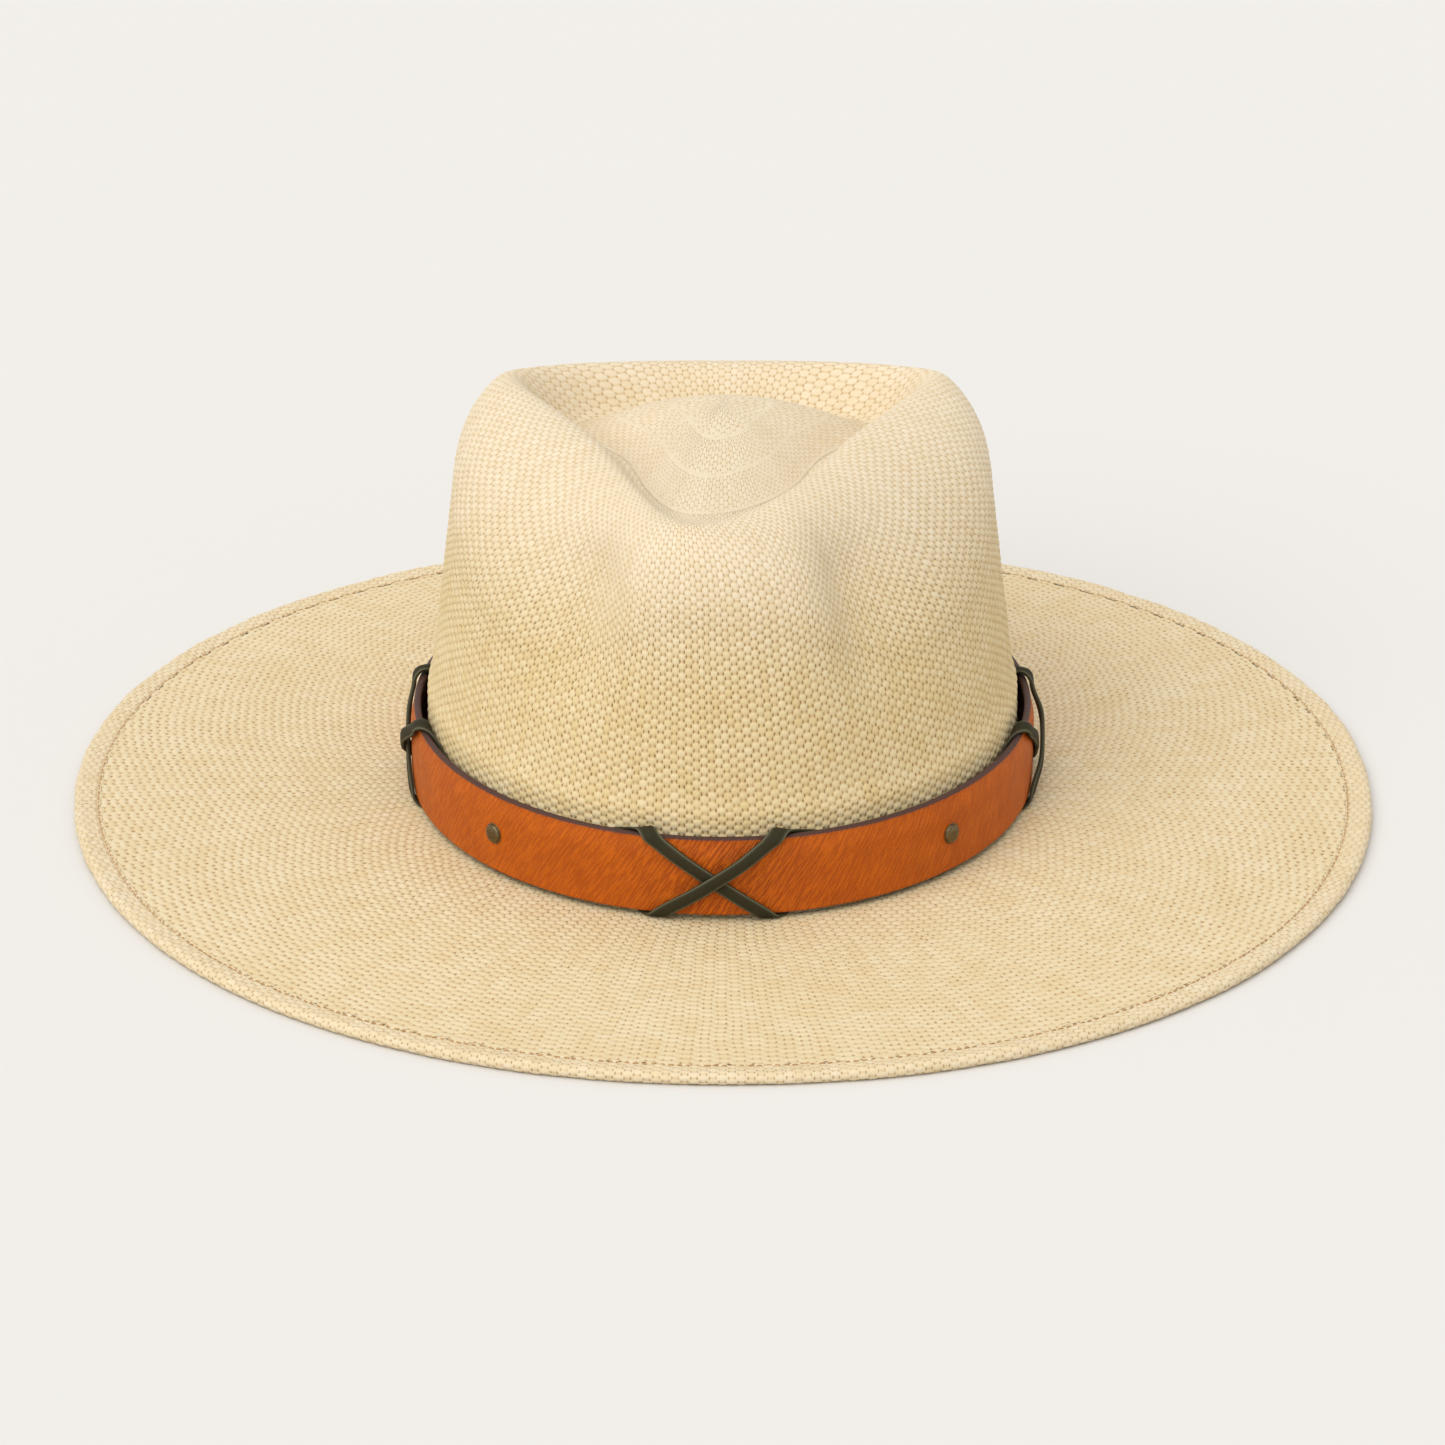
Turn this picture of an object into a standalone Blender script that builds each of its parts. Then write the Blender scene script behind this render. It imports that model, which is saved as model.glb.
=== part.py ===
"""Panama hat: a woven straw body with a teardrop crown and a flat hemmed brim, a leather sweatband
inside the crown and a laced leather hatband around it.

Metres, +Z up. The front of the hat faces -Y and the brim rests on z = 0. An angle runs round the hat
in degrees: 0 at the front, 90 at +X, 180 at the back.
"""

import math

import bmesh
import bpy
from mathutils import Matrix, Vector

MM = 0.001
SEGMENTS = 64
GAP = 0.3 * MM

# Straw body
STRAW = 1.4 * MM
CROWN_HALF_WIDTH = 89.2 * MM
CROWN_HALF_LENGTH = 102.4 * MM
BRIM_HALF_WIDTH = 196.4 * MM
BRIM_FRONT = 208.0 * MM
BRIM_BACK = 194.0 * MM
BRIM_SQUARENESS = 0.005
BRIM_RIGHT_FULLNESS = 0.008
BRIM_TOP = 3.7 * MM
BREAK_RADIUS = 2.4 * MM
WALL_FOOT = 28.0 * MM
HEM_WIDTH = 8.0 * MM
HEM_INNER_TOP = 2 * STRAW + 0.4 * MM
HEM_RADIUS = 2.2 * MM
DOME_CENTRE = Vector((0.0, 20.0, 116.0)) * MM
TIP_SHIFT = -7.0 * MM
DENT_DEPTH = 9.0 * MM
DENT_ANGLE = 36.0
DENT_HALF_ANGLE = 15.0
DENT_HEIGHT = 93.0 * MM
DENT_RISE = 15.0 * MM
DENT_FALL = 26.0 * MM

# The crown, by the angle of the wall below: crest x, y and z, how far the wall leans in below the
# shoulder, the share of the wall's height where the shoulder starts, the depth of the bash and the
# distance from the crest to its bottom. Millimetres and degrees, right half, front to back.
CROWN_KEYS = (
    (0, 0.0, -76.5, 114.5, 11.0, 0.70, 3.0, 13.0),
    (20, 12.0, -69.0, 115.0, 10.0, 0.62, 5.0, 13.0),
    (45, 26.0, -47.0, 117.0, 9.5, 0.45, 9.5, 14.0),
    (70, 40.0, -14.0, 118.5, 9.0, 0.52, 13.0, 15.0),
    (90, 53.5, 12.0, 119.0, 8.5, 0.70, 16.0, 17.0),
    (105, 62.5, 31.0, 119.0, 7.5, 0.80, 18.0, 18.0),
    (120, 64.0, 48.0, 117.0, 7.5, 0.82, 18.0, 18.0),
    (140, 49.5, 64.5, 112.5, 8.5, 0.80, 15.0, 17.0),
    (160, 26.0, 73.5, 109.5, 9.5, 0.78, 12.5, 16.0),
    (180, 0.0, 76.0, 108.5, 10.0, 0.76, 12.0, 16.0),
)

# Brim hem
WIRE_RADIUS = 0.5 * MM
THREAD_RADIUS = 0.3 * MM
HEM_STITCH_INSET = 7.4 * MM

# Sweatband, by its distance inside the straw's outer oval
SWEATBAND = 1.2 * MM
SWEATBAND_FOOT = 2.9 * MM
SWEATBAND_TOP = 36.0 * MM
SWEATBAND_FOOT_INSET = STRAW + 0.4 * MM
SWEATBAND_TOP_INSET = STRAW + 2.6 * MM
SWEATBAND_STITCH_HEIGHT = 6.0 * MM
REED_RADIUS = 0.9 * MM
BACK_SAG = 0.9 * MM
LABEL_SIZE = (18.0 * MM, 0.4 * MM, 10.0 * MM)
LABEL_HEIGHT = 27.0 * MM
BOW_HEIGHT = 14.0 * MM
BOW_THICKNESS = 0.9 * MM
BOW_LOBE = 9.0 * MM
BOW_LOBE_HALF_HEIGHT = 3.6 * MM
BOW_KNOT_HALF_HEIGHT = 1.6 * MM

# Hatband, by its distance outside the straw's outer oval
LACE_WIDTH = 3.6 * MM
LACE = 1.0 * MM
STRAP = 2.2 * MM
STRAP_INNER = 3 * GAP + 2 * LACE
STRAP_OUTER = STRAP_INNER + STRAP
STRAP_FOOT = 6.2 * MM
STRAP_TOP = 29.4 * MM
STRAP_EDGE = 0.8 * MM
STRAP_END_GAP_DEGREES = 0.35
RIVET_ANGLES = {"front_right": 45.0, "rear_right": 135.0, "rear_left": 225.0, "front_left": 315.0}
RIVET_HEAD_RADIUS = 3.2 * MM
RIVET_HEAD_HEIGHT = 1.3 * MM
RIVET_POST_RADIUS = 1.0 * MM
RIVET_SEGMENTS = 20

# Lacing: the middle of each X and, from it, the angle at which the two laces pass the strap's edges
CROSS_ANGLES = (-1.7, 86.5, 180.0, 272.5)
CROSS_HALF_ANGLE = 10.0
LACE_FRONT_STEPS = 7
LACE_WRAP_STEPS = 8
LACE_BACK_STEPS = 16
LACE_WRAP_ANGLE = 4.5
FRONT_CROSSING = (0.18, 0.30)
BACK_CROSSING = (0.20, 0.30)
LACE_BEND = STRAP / 2 + GAP + LACE / 2
STRAIGHT = STRAP_TOP - STRAP_FOOT - STRAP
HALF_TURN = math.pi * LACE_BEND
LACE_GIRTH = 2 * (STRAIGHT + HALF_TURN)


def mirrored_keys(column, odd):
    """The keys of one column from -180 to 540 degrees, the left half taken from the right."""
    half = [(row[0], row[column]) for row in CROWN_KEYS]
    sign = -1.0 if odd else 1.0
    left = [(-angle, sign * value) for angle, value in reversed(half[1:])]
    turn = left + half[:-1]
    return turn + [(angle + 360, value) for angle, value in turn] + [(540, half[-1][1])]


def smooth_between(keys, angle):
    """A smooth curve through the keys, read at one angle."""
    angle = angle % 360.0
    after = next(i for i, key in enumerate(keys) if key[0] > angle)
    (x0, y0), (x1, y1), (x2, y2), (x3, y3) = keys[after - 2 : after + 2]
    width = x2 - x1
    share = (angle - x1) / width
    start_slope = (y2 - y0) / (x2 - x0) * width
    end_slope = (y3 - y1) / (x3 - x1) * width
    cube = share**3
    square = share**2
    return (
        (2 * cube - 3 * square + 1) * y1
        + (cube - 2 * square + share) * start_slope
        + (3 * square - 2 * cube) * y2
        + (cube - square) * end_slope
    )


KEYS = [mirrored_keys(column, odd=column == 1) for column in range(1, 8)]


def crown_at(angle):
    """(crest point, lean, shoulder start, bash depth, bash width) at an angle."""
    x, y, z, lean, start, depth, width = (smooth_between(keys, angle) for keys in KEYS)
    x += TIP_SHIFT / MM * max(math.cos(math.radians(angle)), 0.0) ** 4
    return Vector((x, y, z)) * MM, lean * MM, start, depth * MM, width * MM


def oval(angle, offset):
    """A point in the plane, offset outwards from the crown's outer oval."""
    sine = math.sin(math.radians(angle))
    cosine = math.cos(math.radians(angle))
    normal = Vector((sine / CROWN_HALF_WIDTH, -cosine / CROWN_HALF_LENGTH)).normalized()
    return Vector((CROWN_HALF_WIDTH * sine, -CROWN_HALF_LENGTH * cosine)) + normal * offset


def oval_point(angle, offset, height):
    return oval(angle, offset).to_3d() + Vector((0.0, 0.0, height))


def outline(angle):
    """The brim's edge in the plane: an ellipse, a little fuller at its corners."""
    sine = math.sin(math.radians(angle))
    cosine = math.cos(math.radians(angle))
    length = BRIM_FRONT if cosine > 0 else BRIM_BACK
    fullness = 1 + BRIM_SQUARENESS * (1 - math.cos(math.radians(4 * angle)))
    fullness += BRIM_RIGHT_FULLNESS * 2 * max(sine, 0.0) * max(cosine, 0.0)
    return Vector((BRIM_HALF_WIDTH * sine, -length * cosine)) * fullness


def brim_point(angle, inset, height):
    """A point inset from the brim's edge, square to it."""
    along = outline(angle + 0.5) - outline(angle - 0.5)
    inwards = Vector((-along.y, along.x)).normalized()
    return (outline(angle) + inwards * inset).to_3d() + Vector((0.0, 0.0, height))


def smooth_step(share):
    return share * share * (3 - 2 * share)


def dome_point(angle, share):
    """On the dome: share 0 at the bottom of the bash, 1 at the dome's centre."""
    crest, _, _, depth, width = crown_at(angle)
    inwards = DOME_CENTRE - crest
    level_distance = inwards.to_2d().length
    bottom = crest + inwards * (width / level_distance)
    bottom.z = crest.z - depth
    rise = 0.35 * smooth_step(share) + 0.65 * (1 - (1 - share) ** 2.4)
    point = bottom.lerp(DOME_CENTRE, share)
    point.z = bottom.z + (DOME_CENTRE.z - bottom.z) * rise
    return point


def bash_point(angle, share):
    """On the wall of the bash: share 0 at the crest, 1 at the bottom."""
    crest, _, _, depth, _ = crown_at(angle)
    point = crest.lerp(dome_point(angle, 0.0), share)
    point.z = crest.z - depth * smooth_step(share)
    return point


def dented(point, angle):
    """The point pushed in by the dent on its side of the crown's front."""
    away = (min(angle % 360.0, 360.0 - angle % 360.0) - DENT_ANGLE) / DENT_HALF_ANGLE
    above = (point.z - DENT_HEIGHT) / (DENT_RISE if point.z > DENT_HEIGHT else DENT_FALL)
    push = DENT_DEPTH * math.exp(-(away**2) - above**2)
    outwards = (oval(angle, 1.0) - oval(angle, 0.0)).normalized()
    return point - outwards.to_3d() * push


def shoulder_point(angle, turn):
    """On the shoulder: turn 90 degrees at the crest, 0 where the plain wall ends."""
    crest, lean, start, _, _ = crown_at(angle)
    foot = oval(angle, 0.0)
    inwards = crest.to_2d() - foot
    reach = inwards.length
    fullness = 2 / (1.2 + start)
    rise = math.sin(math.radians(turn)) ** fullness
    inset = lean + (reach - lean) * (1 - math.cos(math.radians(turn)) ** fullness)
    share = start + (1 - start) * rise
    height = WALL_FOOT + (crest.z - WALL_FOOT) * share
    point = (foot + inwards * (inset / reach)).to_3d() + Vector((0.0, 0.0, height))
    return dented(point, angle)


def wall_point(angle, share):
    """On the plain wall: share 0 at its foot, 1 where the shoulder starts."""
    crest, lean, start, _, _ = crown_at(angle)
    foot = oval(angle, 0.0)
    inwards = (crest.to_2d() - foot).normalized()
    height = WALL_FOOT + (crest.z - WALL_FOOT) * start * share
    point = (foot + inwards * lean * share).to_3d() + Vector((0.0, 0.0, height))
    return dented(point, angle)


def break_point(angle, turn):
    """On the fillet where the crown meets the brim: turn 0 on the crown, 90 degrees on the brim."""
    out = BREAK_RADIUS * (1 - math.cos(math.radians(turn)))
    down = BREAK_RADIUS * math.sin(math.radians(turn))
    return oval_point(angle, out, BRIM_TOP + BREAK_RADIUS - down)


def brim_between(angle, share):
    """On the brim's upper side: share 0 at the crown, 1 where the hem starts."""
    inner = oval_point(angle, BREAK_RADIUS, BRIM_TOP)
    outer = brim_point(angle, HEM_WIDTH, HEM_INNER_TOP)
    return inner.lerp(outer, share)


def hem_point(angle, turn):
    """Round the folded edge: turn 90 degrees on top, -90 below."""
    out = HEM_RADIUS * math.cos(math.radians(turn))
    height = HEM_RADIUS * (1 + math.sin(math.radians(turn)))
    return brim_point(angle, HEM_RADIUS - out, height)


def straw_rings(angle):
    """The outer side of the straw at one angle, from beside the dome's centre to the hem's end."""
    dome = [dome_point(angle, share) for share in (0.85, 0.6, 0.35, 0.15)]
    bash = [bash_point(angle, share) for share in (1.0, 0.7, 0.35)]
    shoulder = [shoulder_point(angle, turn) for turn in (90, 68, 46, 24, 0)]
    wall = [wall_point(angle, share) for share in (0.67, 0.33, 0.0)]
    foot = [break_point(angle, turn) for turn in (0, 45, 90)]
    brim = [brim_between(angle, share) for share in (0.33, 0.67, 1.0)]
    fold = [hem_point(angle, turn) for turn in (90, 45, 0, -45, -90)]
    under = [brim_point(angle, inset, 0.0) for inset in (0.65 * HEM_WIDTH, HEM_WIDTH)]
    return dome + bash + shoulder + wall + foot + brim + fold + under


def material(name, colour, roughness, metallic=0.0):
    made = bpy.data.materials.new(name)
    made.use_nodes = True
    shader = made.node_tree.nodes["Principled BSDF"]
    shader.inputs["Base Color"].default_value = (*colour, 1.0)
    shader.inputs["Roughness"].default_value = roughness
    shader.inputs["Metallic"].default_value = metallic
    return made


def straw_material():
    return material("woven_straw", (0.78, 0.62, 0.36), 0.65)


def thread_material():
    return material("sewing_thread", (0.62, 0.33, 0.14), 0.7)


def wire_material():
    return material("spring_wire", (0.55, 0.55, 0.54), 0.35, 1.0)


def sweatband_material():
    return material("sweatband_leather", (0.42, 0.24, 0.12), 0.6)


def reed_material():
    return material("plastic_reed", (0.75, 0.7, 0.6), 0.5)


def ribbon_material():
    return material("satin_ribbon", (0.12, 0.07, 0.04), 0.4)


def label_material():
    return material("label_cloth", (0.85, 0.83, 0.78), 0.8)


def strap_material():
    return material("strap_leather", (0.50, 0.12, 0.02), 0.5)


def lace_material():
    return material("lace_leather", (0.035, 0.03, 0.01), 0.6)


def brass_material():
    return material("antique_brass", (0.18, 0.11, 0.05), 0.4, 1.0)


def add_object(name, data, look, collection):
    obj = bpy.data.objects.new(name, data)
    data.materials.append(look)
    collection.objects.link(obj)
    return obj


def smooth_shaded(mesh, sharp_degrees=40):
    mesh.shade_smooth()
    mesh.set_sharp_from_angle(angle=math.radians(sharp_degrees))


def grid_mesh(name, columns, closed, pole=None):
    """A mesh with a column of points at each angle. A pole closes the columns' first ends."""
    mesh = bpy.data.meshes.new(name)
    work = bmesh.new()
    rows = [[work.verts.new(point) for point in column] for column in columns]
    pairs = list(zip(rows, rows[1:]))
    if closed:
        pairs.append((rows[-1], rows[0]))
    top = work.verts.new(pole) if pole else None
    for near, far in pairs:
        if top:
            work.faces.new((top, near[0], far[0]))
        for i in range(len(near) - 1):
            work.faces.new((near[i], near[i + 1], far[i + 1], far[i]))
    work.to_mesh(mesh)
    work.free()
    smooth_shaded(mesh)
    return mesh


def thicken(obj, thickness):
    """A shell whose outer side is the surface as modelled."""
    shell = obj.modifiers.new("thickness", "SOLIDIFY")
    shell.thickness = thickness
    shell.offset = -1.0
    shell.use_even_offset = True
    return shell


def ring_curve(name, points, radius, sides_setting=1):
    """A closed ring of wire, cord or thread."""
    curve = bpy.data.curves.new(name, "CURVE")
    curve.dimensions = "3D"
    curve.bevel_depth = radius
    curve.bevel_resolution = sides_setting
    spline = curve.splines.new("POLY")
    spline.points.add(len(points) - 1)
    for target, point in zip(spline.points, points):
        target.co = (*point, 1.0)
    spline.use_cyclic_u = True
    return curve


def all_angles():
    return [360.0 * i / SEGMENTS for i in range(SEGMENTS)]


def build_straw_body(parts):
    columns = [straw_rings(angle) for angle in all_angles()]
    mesh = grid_mesh("straw_body", columns, closed=True, pole=DOME_CENTRE)
    thicken(add_object("straw_body", mesh, straw_material(), parts), STRAW)


def build_brim_wire(parts):
    points = [brim_point(angle, HEM_RADIUS, HEM_RADIUS) for angle in all_angles()]
    add_object("brim_wire", ring_curve("brim_wire", points, WIRE_RADIUS), wire_material(), parts)


def build_hem_stitching(look, parts):
    share = (HEM_WIDTH - HEM_STITCH_INSET) / (HEM_WIDTH - HEM_RADIUS)
    top = HEM_INNER_TOP + (2 * HEM_RADIUS - HEM_INNER_TOP) * share
    height = top + GAP + THREAD_RADIUS
    points = [brim_point(angle, HEM_STITCH_INSET, height) for angle in all_angles()]
    add_object("hem_stitching", ring_curve("hem_stitching", points, THREAD_RADIUS), look, parts)


def sweatband_inset(height):
    """How far the sweatband's outer side lies inside the crown's oval at a height."""
    share = (height - SWEATBAND_FOOT) / (SWEATBAND_TOP - SWEATBAND_FOOT)
    return SWEATBAND_FOOT_INSET + (SWEATBAND_TOP_INSET - SWEATBAND_FOOT_INSET) * share


def open_band_angles():
    """Angles of a band whose two ends meet at the back with a fine gap."""
    last = SEGMENTS
    angles = [180.0 + 360.0 * i / SEGMENTS for i in range(last + 1)]
    angles[0] += STRAP_END_GAP_DEGREES / 2
    angles[last] -= STRAP_END_GAP_DEGREES / 2
    return angles


def build_sweatband(parts):
    heights = (SWEATBAND_TOP, SWEATBAND_FOOT)
    columns = [
        [oval_point(angle, -sweatband_inset(height), height) for height in heights]
        for angle in open_band_angles()
    ]
    mesh = grid_mesh("sweatband", columns, closed=False)
    thicken(add_object("sweatband", mesh, sweatband_material(), parts), SWEATBAND)


def build_sweatband_reed(parts):
    offset = -(SWEATBAND_FOOT_INSET + SWEATBAND / 2)
    height = SWEATBAND_FOOT - GAP - REED_RADIUS
    points = [oval_point(angle, offset, height) for angle in all_angles()]
    curve = ring_curve("sweatband_reed", points, REED_RADIUS)
    add_object("sweatband_reed", curve, reed_material(), parts)


def build_sweatband_stitching(look, parts):
    inset = sweatband_inset(SWEATBAND_STITCH_HEIGHT) + SWEATBAND + GAP + THREAD_RADIUS
    points = [oval_point(angle, -inset, SWEATBAND_STITCH_HEIGHT) for angle in all_angles()]
    curve = ring_curve("sweatband_stitching", points, THREAD_RADIUS)
    add_object("sweatband_stitching", curve, look, parts)


def back_of_sweatband(height, standoff):
    """A place against the inner side of the sweatband's back, and the band's lean there."""
    inset = sweatband_inset(height) + SWEATBAND + BACK_SAG + standoff
    lean = math.atan2(SWEATBAND_TOP_INSET - SWEATBAND_FOOT_INSET, SWEATBAND_TOP - SWEATBAND_FOOT)
    place = Vector((0.0, CROWN_HALF_LENGTH - inset, height))
    return Matrix.Translation(place) @ Matrix.Rotation(lean, 4, "X")


def build_sweatband_bow(parts):
    curve = bpy.data.curves.new("sweatband_bow", "CURVE")
    curve.dimensions = "2D"
    curve.fill_mode = "BOTH"
    curve.extrude = BOW_THICKNESS / 2
    curve.resolution_u = 3
    outline_points = (
        (0.0, BOW_KNOT_HALF_HEIGHT),
        (BOW_LOBE, BOW_LOBE_HALF_HEIGHT),
        (BOW_LOBE, -BOW_LOBE_HALF_HEIGHT),
        (0.0, -BOW_KNOT_HALF_HEIGHT),
        (-BOW_LOBE, -BOW_LOBE_HALF_HEIGHT),
        (-BOW_LOBE, BOW_LOBE_HALF_HEIGHT),
    )
    spline = curve.splines.new("BEZIER")
    spline.bezier_points.add(len(outline_points) - 1)
    for target, (x, y) in zip(spline.bezier_points, outline_points):
        target.co = (x, y, 0.0)
        target.handle_left_type = "AUTO"
        target.handle_right_type = "AUTO"
    spline.use_cyclic_u = True
    bow = add_object("sweatband_bow", curve, ribbon_material(), parts)
    upright = Matrix.Rotation(math.radians(90), 4, "X")
    bow.matrix_world = back_of_sweatband(BOW_HEIGHT, GAP + BOW_THICKNESS / 2) @ upright


def build_size_label(parts):
    mesh = bpy.data.meshes.new("size_label")
    work = bmesh.new()
    bmesh.ops.create_cube(work, size=1.0, matrix=Matrix.Diagonal((*LABEL_SIZE, 1.0)))
    work.to_mesh(mesh)
    work.free()
    label = add_object("size_label", mesh, label_material(), parts)
    label.matrix_world = back_of_sweatband(LABEL_HEIGHT, GAP + LABEL_SIZE[1] / 2)


def rivet_frame(angle):
    """The place and axis of a rivet: its own +Z points straight out of the strap's outer face."""
    face = oval_point(angle, STRAP_OUTER, (STRAP_FOOT + STRAP_TOP) / 2)
    outwards = (oval(angle, 1.0) - oval(angle, 0.0)).normalized().to_3d()
    return Matrix.Translation(face) @ outwards.to_track_quat("Z", "Y").to_matrix().to_4x4()


def build_rivet_hole(name, angle, cutters):
    mesh = bpy.data.meshes.new(name)
    work = bmesh.new()
    radius = RIVET_POST_RADIUS + GAP
    bmesh.ops.create_cone(
        work,
        cap_ends=True,
        segments=RIVET_SEGMENTS,
        radius1=radius,
        radius2=radius,
        depth=4 * STRAP,
    )
    work.to_mesh(mesh)
    work.free()
    cutter = bpy.data.objects.new(name, mesh)
    cutter.matrix_world = rivet_frame(angle)
    cutter.hide_render = True
    cutter.display_type = "WIRE"
    cutters.objects.link(cutter)
    return cutter


def build_strap(parts, cutters):
    heights = (STRAP_TOP, STRAP_FOOT)
    columns = [
        [oval_point(angle, STRAP_OUTER, height) for height in heights]
        for angle in open_band_angles()
    ]
    mesh = grid_mesh("leather_strap", columns, closed=False)
    strap = add_object("leather_strap", mesh, strap_material(), parts)
    thicken(strap, STRAP)
    rounded = strap.modifiers.new("burnished_edges", "BEVEL")
    rounded.width = STRAP_EDGE
    rounded.segments = 1
    rounded.limit_method = "ANGLE"
    rounded.angle_limit = math.radians(60)
    for side, angle in RIVET_ANGLES.items():
        cut = strap.modifiers.new("hole_" + side, "BOOLEAN")
        cut.operation = "DIFFERENCE"
        cut.object = build_rivet_hole("rivet_hole_" + side, angle, cutters)


def rivet_profile():
    """Half the section of a rivet, from the top of its domed head down to the end of its post."""
    head = [
        (
            RIVET_HEAD_RADIUS * math.sin(math.radians(turn)),
            GAP + RIVET_HEAD_HEIGHT * math.cos(math.radians(turn)),
        )
        for turn in (0, 25, 50, 72, 90)
    ]
    post_end = GAP / 3 - STRAP
    return head + [(RIVET_POST_RADIUS, GAP), (RIVET_POST_RADIUS, post_end), (0.0, post_end)]


def build_rivets(parts):
    look = brass_material()
    mesh = bpy.data.meshes.new("rivet")
    points = [(x, 0.0, z) for x, z in rivet_profile()]
    mesh.from_pydata(points, [(i, i + 1) for i in range(len(points) - 1)], [])
    mesh.materials.append(look)
    for side, angle in RIVET_ANGLES.items():
        rivet = bpy.data.objects.new("rivet_" + side, mesh)
        turned = rivet.modifiers.new("turned", "SCREW")
        turned.steps = RIVET_SEGMENTS
        turned.render_steps = RIVET_SEGMENTS
        turned.use_merge_vertices = True
        turned.merge_threshold = 0.01 * MM
        turned.use_smooth_shade = True
        rivet.matrix_world = rivet_frame(angle)
        parts.objects.link(rivet)


def strap_surface(angle, girth, out):
    """A point on the surface that a lace's middle follows round the strap's section.

    The girth is measured along that surface: from 0 at the foot of the outer face up to the top,
    round the top edge, down the inner face and round the foot.
    """
    foot_height = STRAP_FOOT + STRAP / 2
    girth = girth % LACE_GIRTH
    turn = 0.0
    height = foot_height + min(girth, STRAIGHT)
    if girth > STRAIGHT:
        turn = min((girth - STRAIGHT) / LACE_BEND, math.pi)
    if girth > STRAIGHT + HALF_TURN:
        height -= min(girth - STRAIGHT - HALF_TURN, STRAIGHT)
    if girth > 2 * STRAIGHT + HALF_TURN:
        turn = math.pi + (girth - 2 * STRAIGHT - HALF_TURN) / LACE_BEND
    radius = LACE_BEND + out
    offset = (STRAP_INNER + STRAP_OUTER) / 2 + radius * math.cos(turn)
    return oval_point(angle, offset, height + radius * math.sin(turn))


def crossing_lift(share, flat_and_ramp):
    """How far a lace rises, as a share, over the other one near the middle of a run."""
    flat, ramp = flat_and_ramp
    away = abs(share - 0.5)
    return 1 - smooth_step(min(max((away - flat) / ramp, 0.0), 1.0))


def lace_leg(start, end, steps, lift, crossing):
    """A straight stretch between two (angle, girth) places, without its last point."""
    made = []
    for i in range(steps):
        share = i / steps
        angle = start[0] + (end[0] - start[0]) * share
        girth = start[1] + (end[1] - start[1]) * share
        made.append((angle, girth, lift * crossing_lift(share, crossing)))
    return made


def lace_route(lift):
    """(angle, girth, lift) all round the hat, for the lace that rises to the right in front."""
    route = []
    for i, centre in enumerate(CROSS_ANGLES):
        following = (*CROSS_ANGLES, CROSS_ANGLES[0] + 360.0)[i + 1]
        turn_start = LACE_GIRTH * i
        foot_outside = (centre - CROSS_HALF_ANGLE, turn_start)
        top_outside = (centre + CROSS_HALF_ANGLE, turn_start + STRAIGHT)
        top_inside = (top_outside[0] + LACE_WRAP_ANGLE, top_outside[1] + HALF_TURN)
        next_outside = (following - CROSS_HALF_ANGLE, turn_start + LACE_GIRTH)
        foot_inside = (next_outside[0] - LACE_WRAP_ANGLE, next_outside[1] - HALF_TURN)
        route += lace_leg(foot_outside, top_outside, LACE_FRONT_STEPS, lift, FRONT_CROSSING)
        route += lace_leg(top_outside, top_inside, LACE_WRAP_STEPS, 0.0, BACK_CROSSING)
        route += lace_leg(top_inside, foot_inside, LACE_BACK_STEPS, lift, BACK_CROSSING)
        route += lace_leg(foot_inside, next_outside, LACE_WRAP_STEPS, 0.0, BACK_CROSSING)
    return route


def lace_sections(route):
    """Across the lace at each point of its route: outer points, then inner points back again."""
    turns = len(CROSS_ANGLES) * math.copysign(LACE_GIRTH, route[-1][1] - route[0][1])
    before = (route[-1][0] - 360.0, route[-1][1] - turns, 0.0)
    after = (route[0][0] + 360.0, route[0][1] + turns, 0.0)
    padded = [before, *route, after]
    sections = []
    for i, (angle, girth, lift) in enumerate(route):
        pace = (oval(angle + 0.5, STRAP_OUTER) - oval(angle - 0.5, STRAP_OUTER)).length
        last, following = padded[i], padded[i + 2]
        along = Vector(((following[0] - last[0]) * pace, following[1] - last[1])).normalized()
        across = [LACE_WIDTH * share for share in (-0.5, -0.17, 0.17, 0.5)]
        places = [(angle - along.y * w / pace, girth + along.x * w) for w in across]
        outer = [strap_surface(a, g, lift + LACE / 2) for a, g in places]
        inner = [strap_surface(a, g, lift - LACE / 2) for a, g in reversed(places)]
        sections.append(outer + inner)
    return sections


def build_lace(name, route, look, parts):
    """A flat lace: a closed loft of its section along the route."""
    mesh = bpy.data.meshes.new(name)
    work = bmesh.new()
    rows = [[work.verts.new(point) for point in section] for section in lace_sections(route)]
    for near, far in zip(rows, rows[1:] + rows[:1]):
        for j in range(len(near)):
            work.faces.new((near[j], near[j - 1], far[j - 1], far[j]))
    bmesh.ops.recalc_face_normals(work, faces=work.faces)
    work.to_mesh(mesh)
    work.free()
    smooth_shaded(mesh)
    add_object(name, mesh, look, parts)


def build_laces(parts):
    look = lace_material()
    falling = [(angle, STRAIGHT - girth, lift) for angle, girth, lift in lace_route(0.0)]
    build_lace("lace_under", falling, look, parts)
    build_lace("lace_over", lace_route(GAP + LACE), look, parts)


def clear_scene():
    for obj in list(bpy.data.objects):
        bpy.data.objects.remove(obj)


def new_collection(name):
    made = bpy.data.collections.new(name)
    bpy.context.scene.collection.children.link(made)
    return made


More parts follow.
